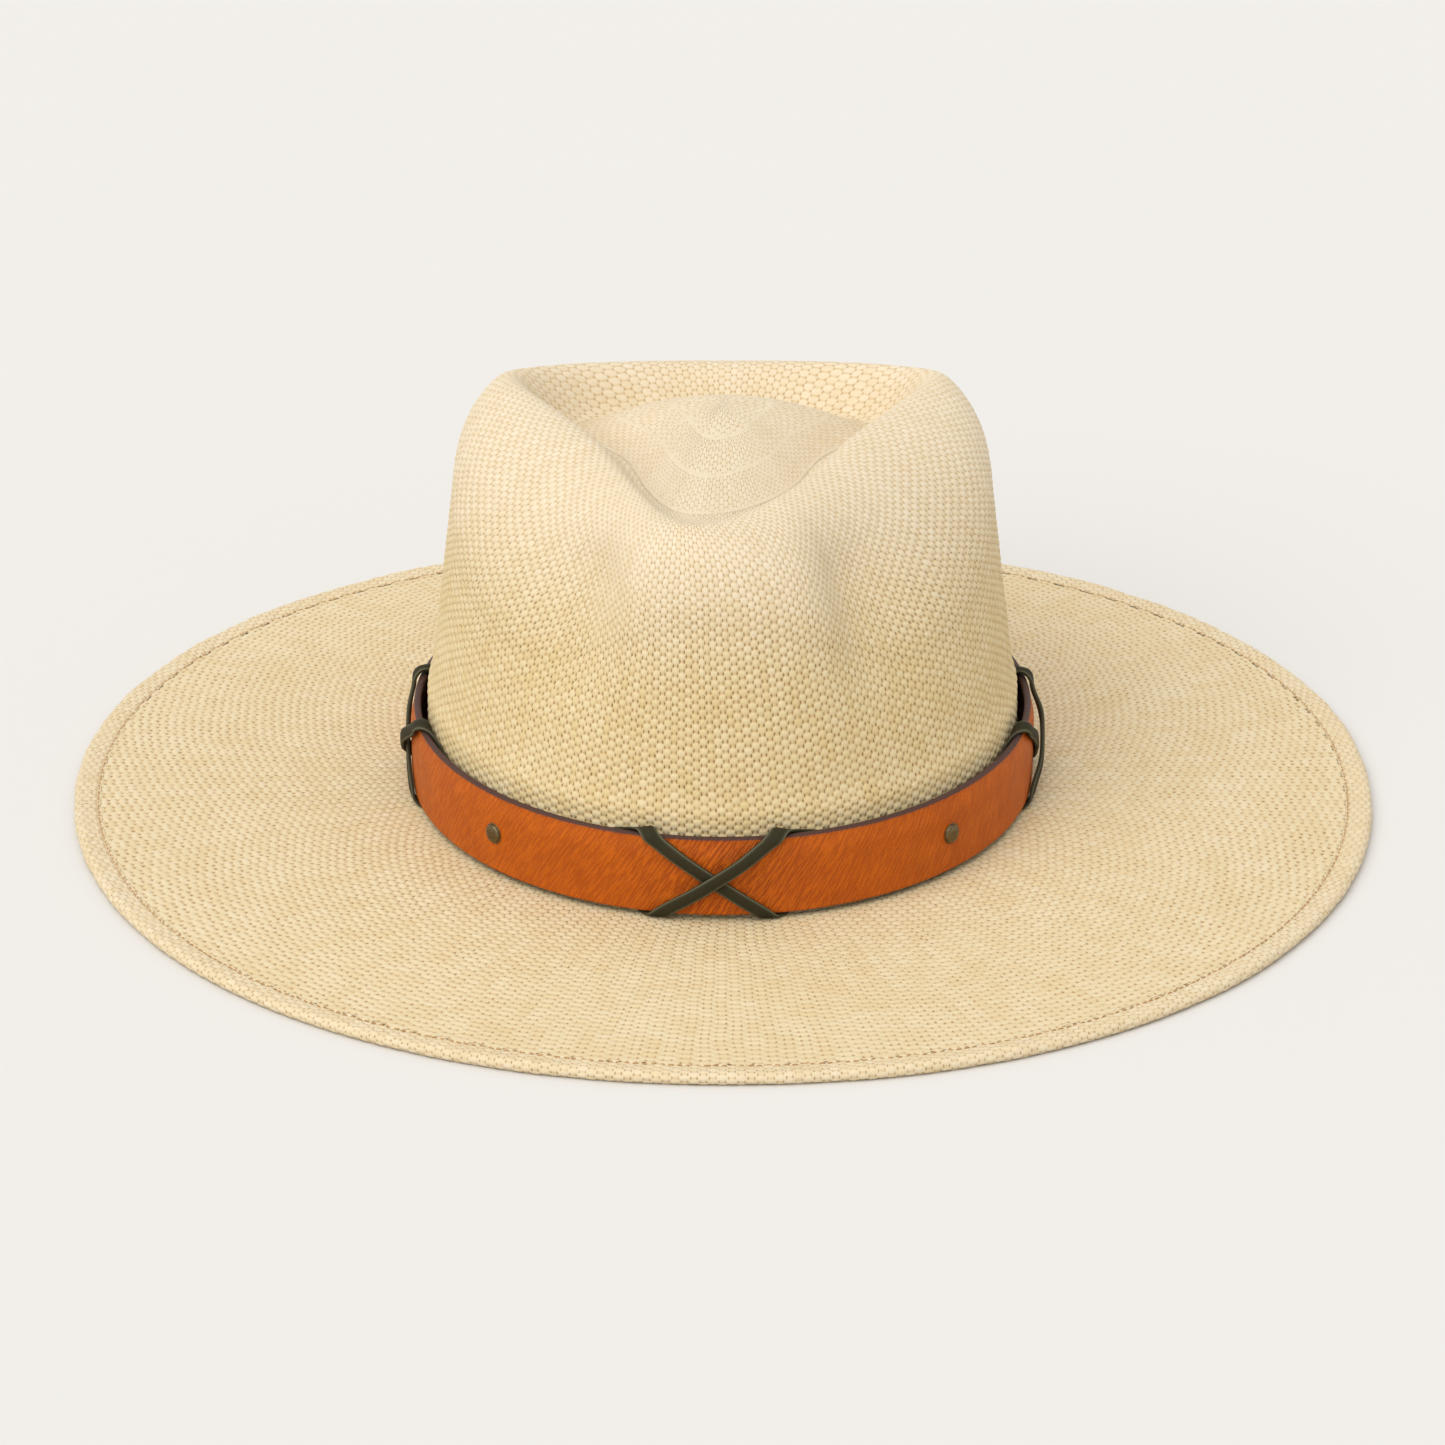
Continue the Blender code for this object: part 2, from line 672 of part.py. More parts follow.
def centre_on_origin(collections):
    """The crown sits a little behind the brim's middle, so every piece moves with one empty that
    puts the brim's middle over the origin."""
    centre = bpy.data.objects.new("hat_centre", None)
    centre.location = (0.0, (BRIM_FRONT - BRIM_BACK) / 2, 0.0)
    for collection in collections:
        for obj in collection.objects:
            obj.parent = centre
    collections[0].objects.link(centre)


def main():
    clear_scene()
    parts = new_collection("panama_hat")
    cutters = new_collection("cutters")
    cutters.hide_render = True
    thread = thread_material()
    build_straw_body(parts)
    build_brim_wire(parts)
    build_hem_stitching(thread, parts)
    build_sweatband(parts)
    build_sweatband_reed(parts)
    build_sweatband_stitching(thread, parts)
    build_sweatband_bow(parts)
    build_size_label(parts)
    build_strap(parts, cutters)
    build_rivets(parts)
    build_laces(parts)
    centre_on_origin([parts, cutters])


main()
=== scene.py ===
"""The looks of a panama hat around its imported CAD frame: straw sheets with the relief of a plain weave,
a stitched hem, a leather hatband with two crossing laces and brass rivets, and a leather sweatband with
a ribbon bow and a blank label inside the crown.

Lengths are in millimetres until a mesh is made. An angle runs round the hat in degrees: 0 at the
front (-Y), 90 at +X, 180 at the back. In a weave, u counts strands round the hat and v counts rows
outwards from the crown's centre.
"""

import math

import bmesh
import bpy
import numpy as np
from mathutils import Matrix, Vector


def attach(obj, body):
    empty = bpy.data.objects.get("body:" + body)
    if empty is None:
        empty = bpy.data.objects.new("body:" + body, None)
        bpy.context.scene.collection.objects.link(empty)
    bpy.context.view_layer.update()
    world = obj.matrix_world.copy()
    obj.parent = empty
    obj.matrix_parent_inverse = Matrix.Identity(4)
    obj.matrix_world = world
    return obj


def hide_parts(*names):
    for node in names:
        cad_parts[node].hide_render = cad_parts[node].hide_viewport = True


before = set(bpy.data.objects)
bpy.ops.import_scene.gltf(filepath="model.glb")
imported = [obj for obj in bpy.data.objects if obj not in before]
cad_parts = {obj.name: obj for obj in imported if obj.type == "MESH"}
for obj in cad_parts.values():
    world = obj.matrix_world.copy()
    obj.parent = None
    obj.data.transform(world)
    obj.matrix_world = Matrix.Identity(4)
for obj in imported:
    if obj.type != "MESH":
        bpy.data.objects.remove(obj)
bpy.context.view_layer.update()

MM = 0.001

# Straw body: as in the CAD, but for a thinner hem, sharper dents and a swell above the strap
STRAW = 1.4
CROWN_HALF_WIDTH = 89.2
CROWN_HALF_LENGTH = 102.4
BRIM_HALF_WIDTH = 196.4
BRIM_FRONT = 208.0
BRIM_BACK = 194.0
BRIM_SQUARENESS = 0.005
BRIM_RIGHT_FULLNESS = 0.008
BRIM_TOP = 3.7
BREAK_RADIUS = 2.4
WALL_FOOT = 28.0
HEM_WIDTH = 8.0
HEM_INNER_TOP = 3.2
HEM_RADIUS = 2.2
HEM_HALF_HEIGHT = 1.85
DOME_CENTRE = np.array([0.0, 20.0, 116.0])
TIP_SHIFT = -7.0
DENT_DEPTH = 9.3
DENT_ANGLE = 36.0
DENT_HALF_ANGLE = 16.0
DENT_NOSE_LEFT = 11.0
DENT_NOSE_RIGHT = 8.5
DENT_HEIGHT = 93.0
DENT_RISE = 15.0
DENT_FALL = 26.0
SWELL = 0.8
CENTRE_SHIFT = np.array([0.0, (BRIM_FRONT - BRIM_BACK) / 2, 0.0])

# The crown, by the angle of the wall below: crest x, y and z, how far the wall leans in below the
# shoulder, the share of the wall's height where the shoulder starts, the depth of the bash and the
# distance from the crest to its bottom. Right half, front to back.
CROWN_KEYS = (
    (0, 0.0, -76.5, 114.5, 11.0, 0.70, 3.0, 13.0),
    (20, 12.0, -69.0, 115.0, 10.0, 0.62, 5.0, 13.0),
    (45, 26.0, -47.0, 117.0, 9.5, 0.45, 9.5, 14.0),
    (70, 40.0, -14.0, 118.5, 9.0, 0.52, 13.0, 15.0),
    (90, 53.5, 12.0, 119.0, 8.5, 0.70, 16.0, 17.0),
    (105, 62.5, 31.0, 119.0, 7.5, 0.80, 18.0, 18.0),
    (120, 64.0, 48.0, 117.0, 7.5, 0.82, 18.0, 18.0),
    (140, 49.5, 64.5, 112.5, 8.5, 0.80, 15.0, 17.0),
    (160, 26.0, 73.5, 109.5, 9.5, 0.78, 12.5, 16.0),
    (180, 0.0, 76.0, 108.5, 10.0, 0.76, 12.0, 16.0),
)

# Weave
STRANDS = 236
STRAND_COLUMNS = 6
INNER_STRAND_COLUMNS = 3
ROW = 1.42
DOME_ROWS = 34
DOME_ROW = 1.35
DOME_PITCH = 1.7
RING_ROWS = 11
BASH_ROWS = 12
SIDE_ROWS = 76
BRIM_ROWS = 70
HEM_ROWS = 14
BRIM_START = DOME_ROWS + BASH_ROWS + SIDE_ROWS

# Hatband and sweatband: as in the CAD, but the strap's foot is lower and the laces are wider
STRAP = 2.2
STRAP_INNER = 2.9
STRAP_OUTER = STRAP_INNER + STRAP
STRAP_FOOT = 5.4
STRAP_TOP = 29.4
LACE_WIDTH = 4.1
LACE = 1.0
GAP = 0.3
RIVET_ANGLES = {"front_right": 45.0, "rear_right": 135.0, "rear_left": 225.0, "front_left": 315.0}
CROSS_ANGLES = (-1.7, 86.5, 180.0, 272.5)
CROSS_FOOT_ANGLE = 8.6
CROSS_TOP_ANGLE = 10.0
LACE_WRAP_ANGLE = 4.5
LACE_BULGE = 1.3
LACE_FULLNESS = 1.8
LACE_SECTION_STEPS = 20
LACE_PACE = 1.8
SEAM_HALF_ANGLE = 0.18
FRONT_CROSSING = (0.18, 0.30)
BACK_CROSSING = (0.20, 0.30)
LACE_BEND = STRAP / 2 + GAP + LACE / 2
STRAIGHT = STRAP_TOP - STRAP_FOOT - STRAP
HALF_TURN = math.pi * LACE_BEND
LACE_GIRTH = 2 * (STRAIGHT + HALF_TURN)
SWEATBAND = 1.2
SWEATBAND_FOOT = 2.9
SWEATBAND_TOP = 36.0
SWEATBAND_FOOT_INSET = 1.8
SWEATBAND_TOP_INSET = 4.0
BACK_SAG = 0.9
INNER_SEAM_HEIGHT = 6.0
BOW_HEIGHT = 14.0
LABEL_HEIGHT = 27.0

# Studio: metres, degrees and light strengths
SKY_STRENGTH = 0.84
SUN_ENERGY = 1.80
SUN_SPREAD = 62.0
SUN_TURN = -36.0
SUN_RISE = 50.0
FLOOR_HALF = 14.0
CAMERA_RISE = 23.2
CAMERA_DISTANCE = 2.0
CAMERA_LENS = 164.28
CAMERA_TARGET_HEIGHT = 0.0202

UP = np.array([0.0, 0.0, 1.0])


# ---- numbers along and across a surface


def smooth_step(share):
    share = np.clip(share, 0.0, 1.0)
    return share * share * (3 - 2 * share)


def unit(vectors):
    return vectors / np.maximum(np.linalg.norm(vectors, axis=-1, keepdims=True), 1e-12)


def length_along(path):
    """The length from a path's start to each of its points."""
    strides = np.linalg.norm(np.diff(path, axis=0), axis=1)
    return np.concatenate([[0], np.cumsum(strides)])


def squared_off(wave, power):
    """A sine or cosine with fuller shoulders, for a flat section with rounded edges."""
    return np.sign(wave) * np.abs(wave) ** power


def lattice_noise(x, y, seed, period):
    """Smooth noise from -1 to 1 with cells of size 1, repeating every period cells along x."""
    table = np.random.default_rng(seed).uniform(-1, 1, (period, 512))
    x0, y0 = np.floor(x).astype(int), np.floor(y).astype(int)
    fx, fy = smooth_step(x - x0), smooth_step(y - y0)
    left, right = x0 % period, (x0 + 1) % period
    low, high = y0 % 512, (y0 + 1) % 512
    near = table[left, low] * (1 - fx) + table[right, low] * fx
    far = table[left, high] * (1 - fx) + table[right, high] * fx
    return near * (1 - fy) + far * fy


def cell_value(i, j, seed):
    """A steady random number from 0 to 1 for each pair of whole numbers."""
    table = np.random.default_rng(seed).uniform(0, 1, (STRANDS * 2, 512))
    return table[i.astype(int) % (STRANDS * 2), j.astype(int) % 512]


# ---- the hat's outer surface


def mirrored_keys(column, odd):
    half = [(row[0], row[column]) for row in CROWN_KEYS]
    sign = -1.0 if odd else 1.0
    left = [(-angle, sign * value) for angle, value in reversed(half[1:])]
    turn = left + half[:-1]
    return np.array(turn + [(a + 360, value) for a, value in turn] + [(540, half[-1][1])])


def smooth_between(keys, angles):
    """A smooth curve through the keys, read at many angles."""
    angles = angles % 360.0
    after = np.searchsorted(keys[:, 0], angles, side="right")
    (x0, y0), (x1, y1), (x2, y2), (x3, y3) = (keys[after + k].T for k in (-2, -1, 0, 1))
    width = x2 - x1
    share = (angles - x1) / width
    cube, square = share**3, share**2
    start_slope = (y2 - y0) / (x2 - x0) * width
    end_slope = (y3 - y1) / (x3 - x1) * width
    value = (2 * cube - 3 * square + 1) * y1 + (cube - 2 * square + share) * start_slope
    return value + (3 * square - 2 * cube) * y2 + (cube - square) * end_slope


def point(x, y, z):
    return np.stack(np.broadcast_arrays(x, y, z), axis=-1)


class Profile:
    """The hat's outer surface above a row of angles. Each method gives one point for every angle."""

    def __init__(self, angles):
        self.angles = angles
        self.sine = np.sin(np.radians(angles))
        self.cosine = np.cos(np.radians(angles))
        columns = [smooth_between(mirrored_keys(c, c == 1), angles) for c in range(1, 8)]
        x, y, z, self.lean, self.start, self.depth, self.width = columns
        x = x + TIP_SHIFT * np.maximum(self.cosine, 0.0) ** 4
        self.crest = point(x, y, z)
        normal = point(self.sine / CROWN_HALF_WIDTH, -self.cosine / CROWN_HALF_LENGTH, 0.0)
        self.outwards = unit(normal)
        inwards = DOME_CENTRE - self.crest
        reach = np.hypot(inwards[:, 0], inwards[:, 1])
        self.bottom = self.crest + inwards * (self.width / reach)[:, None]
        self.bottom[:, 2] = self.crest[:, 2] - self.depth

    def oval(self, offset, height):
        foot = point(CROWN_HALF_WIDTH * self.sine, -CROWN_HALF_LENGTH * self.cosine, height)
        return foot + self.outwards * np.asarray(offset)[..., None]

    def outline(self, turn=0.0):
        angles = np.radians(self.angles + turn)
        sine, cosine = np.sin(angles), np.cos(angles)
        length = np.where(cosine > 0, BRIM_FRONT, BRIM_BACK)
        fullness = 1 + BRIM_SQUARENESS * (1 - np.cos(4 * angles))
        fullness = fullness + BRIM_RIGHT_FULLNESS * 2 * np.maximum(sine, 0) * np.maximum(cosine, 0)
        return point(BRIM_HALF_WIDTH * sine * fullness, -length * cosine * fullness, 0.0)

    def brim(self, inset, height):
        along = self.outline(0.5) - self.outline(-0.5)
        inwards = unit(point(-along[:, 1], along[:, 0], 0.0))
        made = self.outline() + inwards * np.asarray(inset)[..., None]
        made[:, 2] = height
        return made

    def dome(self, share):
        rise = 0.35 * smooth_step(share) + 0.65 * (1 - (1 - share) ** 2.4)
        made = self.bottom + (DOME_CENTRE - self.bottom) * share
        made[:, 2] = self.bottom[:, 2] + (DOME_CENTRE[2] - self.bottom[:, 2]) * rise
        return made

    def bash(self, share):
        made = self.crest + (self.bottom - self.crest) * share
        made[:, 2] = self.crest[:, 2] - self.depth * smooth_step(share)
        return made

    def dented(self, points):
        side = (self.angles + 180) % 360 - 180
        away = np.abs(side) - DENT_ANGLE
        towards_nose = np.where(side > 0, DENT_NOSE_RIGHT, DENT_NOSE_LEFT)
        away = away / np.where(away < 0, towards_nose, DENT_HALF_ANGLE)
        above = points[:, 2] - DENT_HEIGHT
        above = above / np.where(above > 0, DENT_RISE, DENT_FALL)
        push = DENT_DEPTH * np.exp(-(away**2) - above**2)
        return points - self.outwards * push[:, None]

    def shoulder(self, turn):
        foot = self.oval(0.0, 0.0)
        inwards = (self.crest - foot) * np.array([1.0, 1.0, 0.0])
        reach = np.linalg.norm(inwards, axis=1)
        fullness = 2 / (1.2 + self.start)
        rise = math.sin(math.radians(turn)) ** fullness
        fall = max(math.cos(math.radians(turn)), 0.0) ** fullness
        inset = self.lean + (reach - self.lean) * (1 - fall)
        share = self.start + (1 - self.start) * rise
        made = foot + inwards * (inset / reach)[:, None]
        made[:, 2] = WALL_FOOT + (self.crest[:, 2] - WALL_FOOT) * share
        return self.dented(made)

    def wall(self, share):
        foot = self.oval(0.0, 0.0)
        inwards = unit((self.crest - foot) * np.array([1.0, 1.0, 0.0]))
        height = (self.crest[:, 2] - WALL_FOOT) * self.start * share
        swell = SWELL * np.exp(-(((height - 6.5) / 3.6) ** 2))
        made = foot + inwards * (self.lean * share - swell)[:, None]
        made[:, 2] = WALL_FOOT + height
        return self.dented(made)

    def crown_break(self, turn):
        out = BREAK_RADIUS * (1 - math.cos(math.radians(turn)))
        down = BREAK_RADIUS * math.sin(math.radians(turn))
        return self.oval(out, BRIM_TOP + BREAK_RADIUS - down)

    def brim_between(self, share):
        inner = self.oval(BREAK_RADIUS, BRIM_TOP)
        outer = self.brim(HEM_WIDTH, HEM_INNER_TOP)
        return inner + (outer - inner) * share

    def hem(self, turn):
        out = HEM_RADIUS * math.cos(math.radians(turn))
        return self.brim(HEM_RADIUS - out, HEM_HALF_HEIGHT * (1 + math.sin(math.radians(turn))))


def outer_sections(angles):
    """The outer surface in five sections from the dome outwards, each along it by angle by xyz."""
    profile = Profile(angles)
    fine = np.linspace(0, 1, 49)
    dome = [profile.dome(1 - share) for share in fine]
    bash = [profile.bash(1 - share) for share in fine]
    side = [profile.shoulder(90 * (1 - share)) for share in fine]
    side += [profile.wall(1 - share) for share in np.linspace(0, 1, 97)[1:]]
    side += [profile.crown_break(90 * share) for share in fine[1::4]]
    brim = [profile.brim_between(share) for share in fine]
    hem = [profile.brim_between(1.0), profile.hem(90)]
    hem += [profile.hem(90 - 180 * share) for share in fine[1:]]
    hem += [profile.brim(HEM_WIDTH, 0.0)]
    return [np.array(section) for section in (dome, bash, side, brim, hem)]


def resampled(section, steps):
    """The section again, with steps equal stretches along the surface at each angle."""
    strides = np.linalg.norm(np.diff(section, axis=0), axis=2)
    along = np.vstack([np.zeros(section.shape[1]), np.cumsum(strides, axis=0)])
    wanted = np.linspace(0, 1, steps + 1)
    made = np.empty((steps + 1, section.shape[1], 3))
    for i in range(section.shape[1]):
        places = along[:, i] / along[-1, i]
        for axis in range(3):
            made[:, i, axis] = np.interp(wanted, places, section[:, i, axis])
    return made


def wrapped(angles_count):
    """Angles all round, from the back to the back, with the last one at the first one's place."""
    return np.linspace(-180, 180, angles_count + 1)


def seamed(count):
    """Angles all round for a band whose two ends nearly meet at the back."""
    return np.linspace(-180 + SEAM_HALF_ANGLE, 180 - SEAM_HALF_ANGLE, count)


def normals_of(points):
    """Outward normals of a grid whose columns close on themselves."""
    closed = np.concatenate([points[:, -2:-1], points, points[:, 1:2]], axis=1)
    along = np.gradient(points, axis=0)
    round_it = (closed[:, 2:] - closed[:, :-2]) / 2
    made = unit(np.cross(along, round_it))
    if np.ptp(points[0], axis=0).max() < 1e-6:
        made[0] = unit(made[1, :-1].mean(axis=0))
    return made


def crown_grid(angles, dome_steps, bash_steps, side_steps):
    """The whole crown from the dome's middle to the brim, its folds eased as in blocked straw."""
    dome, bash, side, _, _ = outer_sections(angles)
    parts = (resampled(dome, dome_steps), resampled(bash, bash_steps), resampled(side, side_steps))
    points = np.concatenate([parts[0], parts[1][1:], parts[2][1:]])
    points[:, :, 2] = rounded_dome(points[:, :, 2], dome_steps)
    reach = bash_steps // 2
    half = (len(angles) - 1) // 2
    across = np.concatenate([points[: reach + 1, half:-1], points[: reach + 1, : half + 1]], axis=1)
    extended = np.concatenate([across[:0:-1], points, np.repeat(points[-1:], reach, axis=0)])
    eased, total = 0.0, 0.0
    for shift in range(-reach, reach + 1):
        weight = math.exp(-((shift / (0.34 * reach)) ** 2))
        eased = eased + weight * extended[reach + shift : reach + shift + len(points)]
        total += weight
    eased = eased / total
    rows = np.arange(len(points))[:, None, None]
    middle = eased[0, :-1].mean(axis=0)
    eased = eased + (middle - eased[:1]) * (1 - smooth_step(rows / (2 * reach)))
    crest = dome_steps + bash_steps
    share = 1 - smooth_step((rows - crest - 2 * reach) / (3 * reach))
    return points + (eased - points) * share


def rounded_dome(heights, dome_steps):
    """The dome's heights with the ridges that run to its middle smoothed away round the hat."""
    rows = np.arange(len(heights))[:, None]
    spectrum = np.fft.rfft(heights[:, :-1], axis=1)
    spread = 0.9 * (1 - smooth_step(rows / dome_steps))
    damped = spectrum * np.exp(-((np.arange(spectrum.shape[1])[None, :] * spread) ** 2))
    made = np.fft.irfft(damped, n=heights.shape[1] - 1, axis=1)
    return np.concatenate([made, made[:, :1]], axis=1)


# ---- the weave


def straw_height(u, v, warp_half):
    """Relief of a plain weave from 0 in a hole to 1 on a crossing, and which crossing it is on.

    Each row passes over one strand and under the next, so crossings lie where i + j is even. Between
    two of them on a strand, the strand shows, warp_half wide to either side, with a hole beside it.
    """
    best = np.zeros(np.broadcast(u, v).shape)
    owner_i, owner_j = np.zeros_like(best), np.zeros_like(best)
    for i in (np.floor(u), np.floor(u) + 1):
        j = 2 * np.round((v - i) / 2) + i
        reach = (0.90 - warp_half) * (0.95 + 0.10 * cell_value(i, j, 7))
        across = np.abs(u - i) / reach
        upright = np.abs(v - j) / (0.76 + 0.10 * cell_value(i, j, 3))
        dome = 1 - across**2.9 - upright**2.9
        taken = dome > best
        best = np.where(taken, dome, best)
        owner_i, owner_j = np.where(taken, i, owner_i), np.where(taken, j, owner_j)
    crossing = best**0.45 * (0.84 + 0.16 * cell_value(owner_i, owner_j, 4))
    strand = 0.58 * np.clip(1 - (np.abs(u - np.round(u)) / warp_half) ** 3, 0, 1) ** 0.5
    return np.maximum(crossing, strand), best, owner_i, owner_j


def strand_lean(angles, share):
    """How far strands lean round the hat, in degrees, as they climb the sides of the crown."""
    side = np.abs((angles + 180) % 360 - 180)
    where = smooth_step((side - 14) / 50) * smooth_step((172 - side) / 60)
    return np.sign((angles + 180) % 360 - 180) * where * 21.0 * smooth_step(share)


def weave_places(angles, rows, lean_share, strands):
    """(u, v) over a grid, with the small wander that handwork has."""
    around, v = np.meshgrid(angles, rows)
    u = (around + strand_lean(around, lean_share)) * strands / 360
    period = 90
    x = around * period / 360
    u = u + 0.16 * lattice_noise(x, v / 9, 11, period)
    v = v + 0.30 * lattice_noise(x, v / 14, 12, period) + 0.5 * lattice_noise(x / 6, v / 30, 13, 15)
    return u, v


def linked(name, data):
    """A new object in the scene that holds the data."""
    made = bpy.data.objects.new(name, data)
    bpy.context.scene.collection.objects.link(made)
    return made


def mesh_object(name, points, corners, starts, uvs, look, values=None, normals=None):
    """A mesh from its points, the flat list of its faces' corners and where each face starts."""
    mesh = bpy.data.meshes.new(name)
    mesh.vertices.add(len(points))
    mesh.vertices.foreach_set("co", ((points + CENTRE_SHIFT) * MM).astype(np.float32).ravel())
    mesh.loops.add(len(corners))
    mesh.loops.foreach_set("vertex_index", corners.astype(np.int32))
    mesh.polygons.add(len(starts))
    mesh.polygons.foreach_set("loop_start", starts.astype(np.int32))
    mesh.update(calc_edges=True)
    layer = mesh.uv_layers.new(name="weave")
    layer.data.foreach_set("uv", uvs[corners].astype(np.float32).ravel())
    for key, value in (values or {}).items():
        attribute = mesh.attributes.new(key, "FLOAT", "POINT")
        attribute.data.foreach_set("value", value.astype(np.float32))
    mesh.shade_smooth()
    if normals is not None:
        mesh.normals_split_custom_set_from_vertices(normals.astype(np.float32))
    mesh.materials.append(look)
    return linked(name, mesh)


def quads_of(index):
    """The corners of a grid's faces as one flat list, from the points' numbers in rows and columns."""
    corners = (index[:-1, :-1], index[1:, :-1], index[1:, 1:], index[:-1, 1:])
    return np.stack([corner.ravel() for corner in corners], axis=1).ravel()


def grid_object(name, points, u, v, look, values=None, normals=None):
    """A sheet from a grid of points: rows along the surface, columns round the hat.

    Where the first row is a single place, it becomes one point with triangles round it.
    """
    rows, columns = points.shape[:2]
    index = np.arange(rows * columns).reshape(rows, columns)
    triangles = np.empty(0, dtype=int)
    first = 0
    if np.ptp(points[0], axis=0).max() < 1e-6:
        index = np.maximum(index - columns + 1, 0)
        triangles = np.stack([index[0, :-1], index[1, :-1], index[1, 1:]], axis=1).ravel()
        first = 1
    quads = quads_of(index[first:])
    quad_starts = len(triangles) + np.arange(0, len(quads), 4)
    starts = np.concatenate([np.arange(0, len(triangles), 3), quad_starts])
    keep = slice(columns - 1 if first else 0, None)

    def flat(grid):
        return grid.reshape(rows * columns, -1)[keep]

    uvs = np.concatenate([flat(u), flat(v)], axis=1)
    kept = {key: flat(value)[:, 0] for key, value in (values or {}).items()}
    turned = None if normals is None else flat(normals)
    together = np.concatenate([triangles, quads])
    return mesh_object(name, flat(points), together, starts, uvs, look, kept, turned)


def sectors(count, parts):
    """Column ranges of equal sectors, each sharing its last column with the next one's first."""
    edges = [round(count * k / parts) for k in range(parts + 1)]
    return [slice(low, high + 1) for low, high in zip(edges, edges[1:])]


def strands_at(rows):
    """How many strands there are in each row: more are added ring by ring, as the dome widens."""
    ring = np.floor(rows / RING_ROWS)
    added = 2 * np.round(np.pi * RING_ROWS * DOME_ROW * (ring + 0.6) / DOME_PITCH)
    return np.where(rows < DOME_ROWS, np.minimum(added, STRANDS), STRANDS)


def woven(points, u, v, warp_half, relief):
    """The grid with the weave's relief, and the values that its material reads."""
    height, dome, i, j = straw_height(u, v, warp_half)
    normals = normals_of(points)
    shaped = points + normals * (relief * (height - 1) + 0.05)[..., None]
    tone = cell_value(i, j, 5) * 0.55 + cell_value(np.round(u), np.floor(v / 9), 6) * 0.45
    values = {
        "tone": tone,
        "crossing": np.clip(dome, 0, 1),
        "strand": np.broadcast_to(warp_half, u.shape),
    }
    return shaped, values


def straw_sheets(name, rows, parts, look, shaped, u, v, values):
    """Cuts rows of a woven grid into named sheets, small enough to stay whole when exported."""
    normals = normals_of(shaped)
    made = []
    for k, part in enumerate(sectors(u.shape[1] - 1, parts)):
        kept = {key: value[rows, part] for key, value in values.items()}
        grids = [grid[rows, part] for grid in (shaped, u, v)]
        label = f"{name}_{k + 1}" if parts > 1 else name
        made.append(grid_object(label, *grids, look, kept, normals[rows, part]))
    return made


# ---- materials


class Look:
    """A procedural material: its shader, and short calls that add the nodes feeding it."""

    def __init__(self, name, roughness, metallic=0.0, specular=0.5):
        self.material = bpy.data.materials.new(name)
        self.material.use_nodes = True
        self.tree = self.material.node_tree
        self.shader = self.tree.nodes["Principled BSDF"]
        self.shader.inputs["Roughness"].default_value = roughness
        self.shader.inputs["Metallic"].default_value = metallic
        self.shader.inputs["Specular IOR Level"].default_value = specular

    def feed(self, socket, value):
        if isinstance(value, bpy.types.NodeSocket):
            self.tree.links.new(value, socket)
        else:
            socket.default_value = value

    def add(self, kind, **settings):
        node = self.tree.nodes.new(kind)
        for key, value in settings.items():
            setattr(node, key, value)
        return node

    def maths(self, operation, first, second=0.0, third=0.0):
        node = self.add("ShaderNodeMath", operation=operation)
        for socket, value in zip(node.inputs, (first, second, third)):
            self.feed(socket, value)
        return node.outputs[0]

    def attribute(self, name):
        return self.add("ShaderNodeAttribute", attribute_name=name).outputs["Fac"]

    def own_places(self):
        """The piece's own coordinates."""
        return self.add("ShaderNodeTexCoord").outputs["Object"]

    def places(self):
        """The weave's u and v, and both as one vector."""
        uv = self.add("ShaderNodeUVMap", uv_map="weave").outputs[0]
        apart = self.add("ShaderNodeSeparateXYZ")
        self.feed(apart.inputs[0], uv)
        return apart.outputs[0], apart.outputs[1], uv

    def scaled(self, vector, scale):
        node = self.add("ShaderNodeVectorMath", operation="MULTIPLY")
        self.feed(node.inputs[0], vector)
        node.inputs[1].default_value = scale
        return node.outputs[0]

    def noise(self, vector, scale, detail=2.0, roughness=0.5):
        node = self.add("ShaderNodeTexNoise")
        self.feed(node.inputs["Vector"], vector)
        node.inputs["Scale"].default_value = scale
        node.inputs["Detail"].default_value = detail
        node.inputs["Roughness"].default_value = roughness
        return node.outputs["Fac"]

    def bands(self, vector, direction, scale, distortion=0.0):
        node = self.add("ShaderNodeTexWave", wave_type="BANDS", bands_direction=direction)
        self.feed(node.inputs["Vector"], vector)
        node.inputs["Scale"].default_value = scale
        node.inputs["Distortion"].default_value = distortion
        return node.outputs["Fac"]

    def mixed(self, share, first, second):
        node = self.add("ShaderNodeMix", data_type="RGBA")
        self.feed(node.inputs["Factor"], share)
        for socket, value in ((node.inputs[6], first), (node.inputs[7], second)):
            self.feed(socket, value if isinstance(value, bpy.types.NodeSocket) else (*value, 1.0))
        return node.outputs[2]

    def ranged(self, value, low, high, to_low=0.0, to_high=1.0):
        node = self.add("ShaderNodeMapRange")
        for socket, number in zip(node.inputs, (value, low, high, to_low, to_high)):
            self.feed(socket, number)
        return node.outputs[0]

    def bump(self, height, distance, strength=1.0, under=None):
        node = self.add("ShaderNodeBump")
        node.inputs["Strength"].default_value = strength
        node.inputs["Distance"].default_value = distance
        self.feed(node.inputs["Height"], height)
        if under is not None:
            self.feed(node.inputs["Normal"], under)
        return node.outputs[0]

    def finish(self, colour, roughness=None, normal=None):
        self.feed(self.shader.inputs["Base Color"], colour)
        if roughness is not None:
            self.feed(self.shader.inputs["Roughness"], roughness)
        if normal is not None:
            self.feed(self.shader.inputs["Normal"], normal)
        return self.material


STRAW_TAN = (0.565, 0.390, 0.170)
# The holes' brown is painted shade in the gaps of the weave.
STRAW_GAP_SHADE = (0.34, 0.155, 0.040)


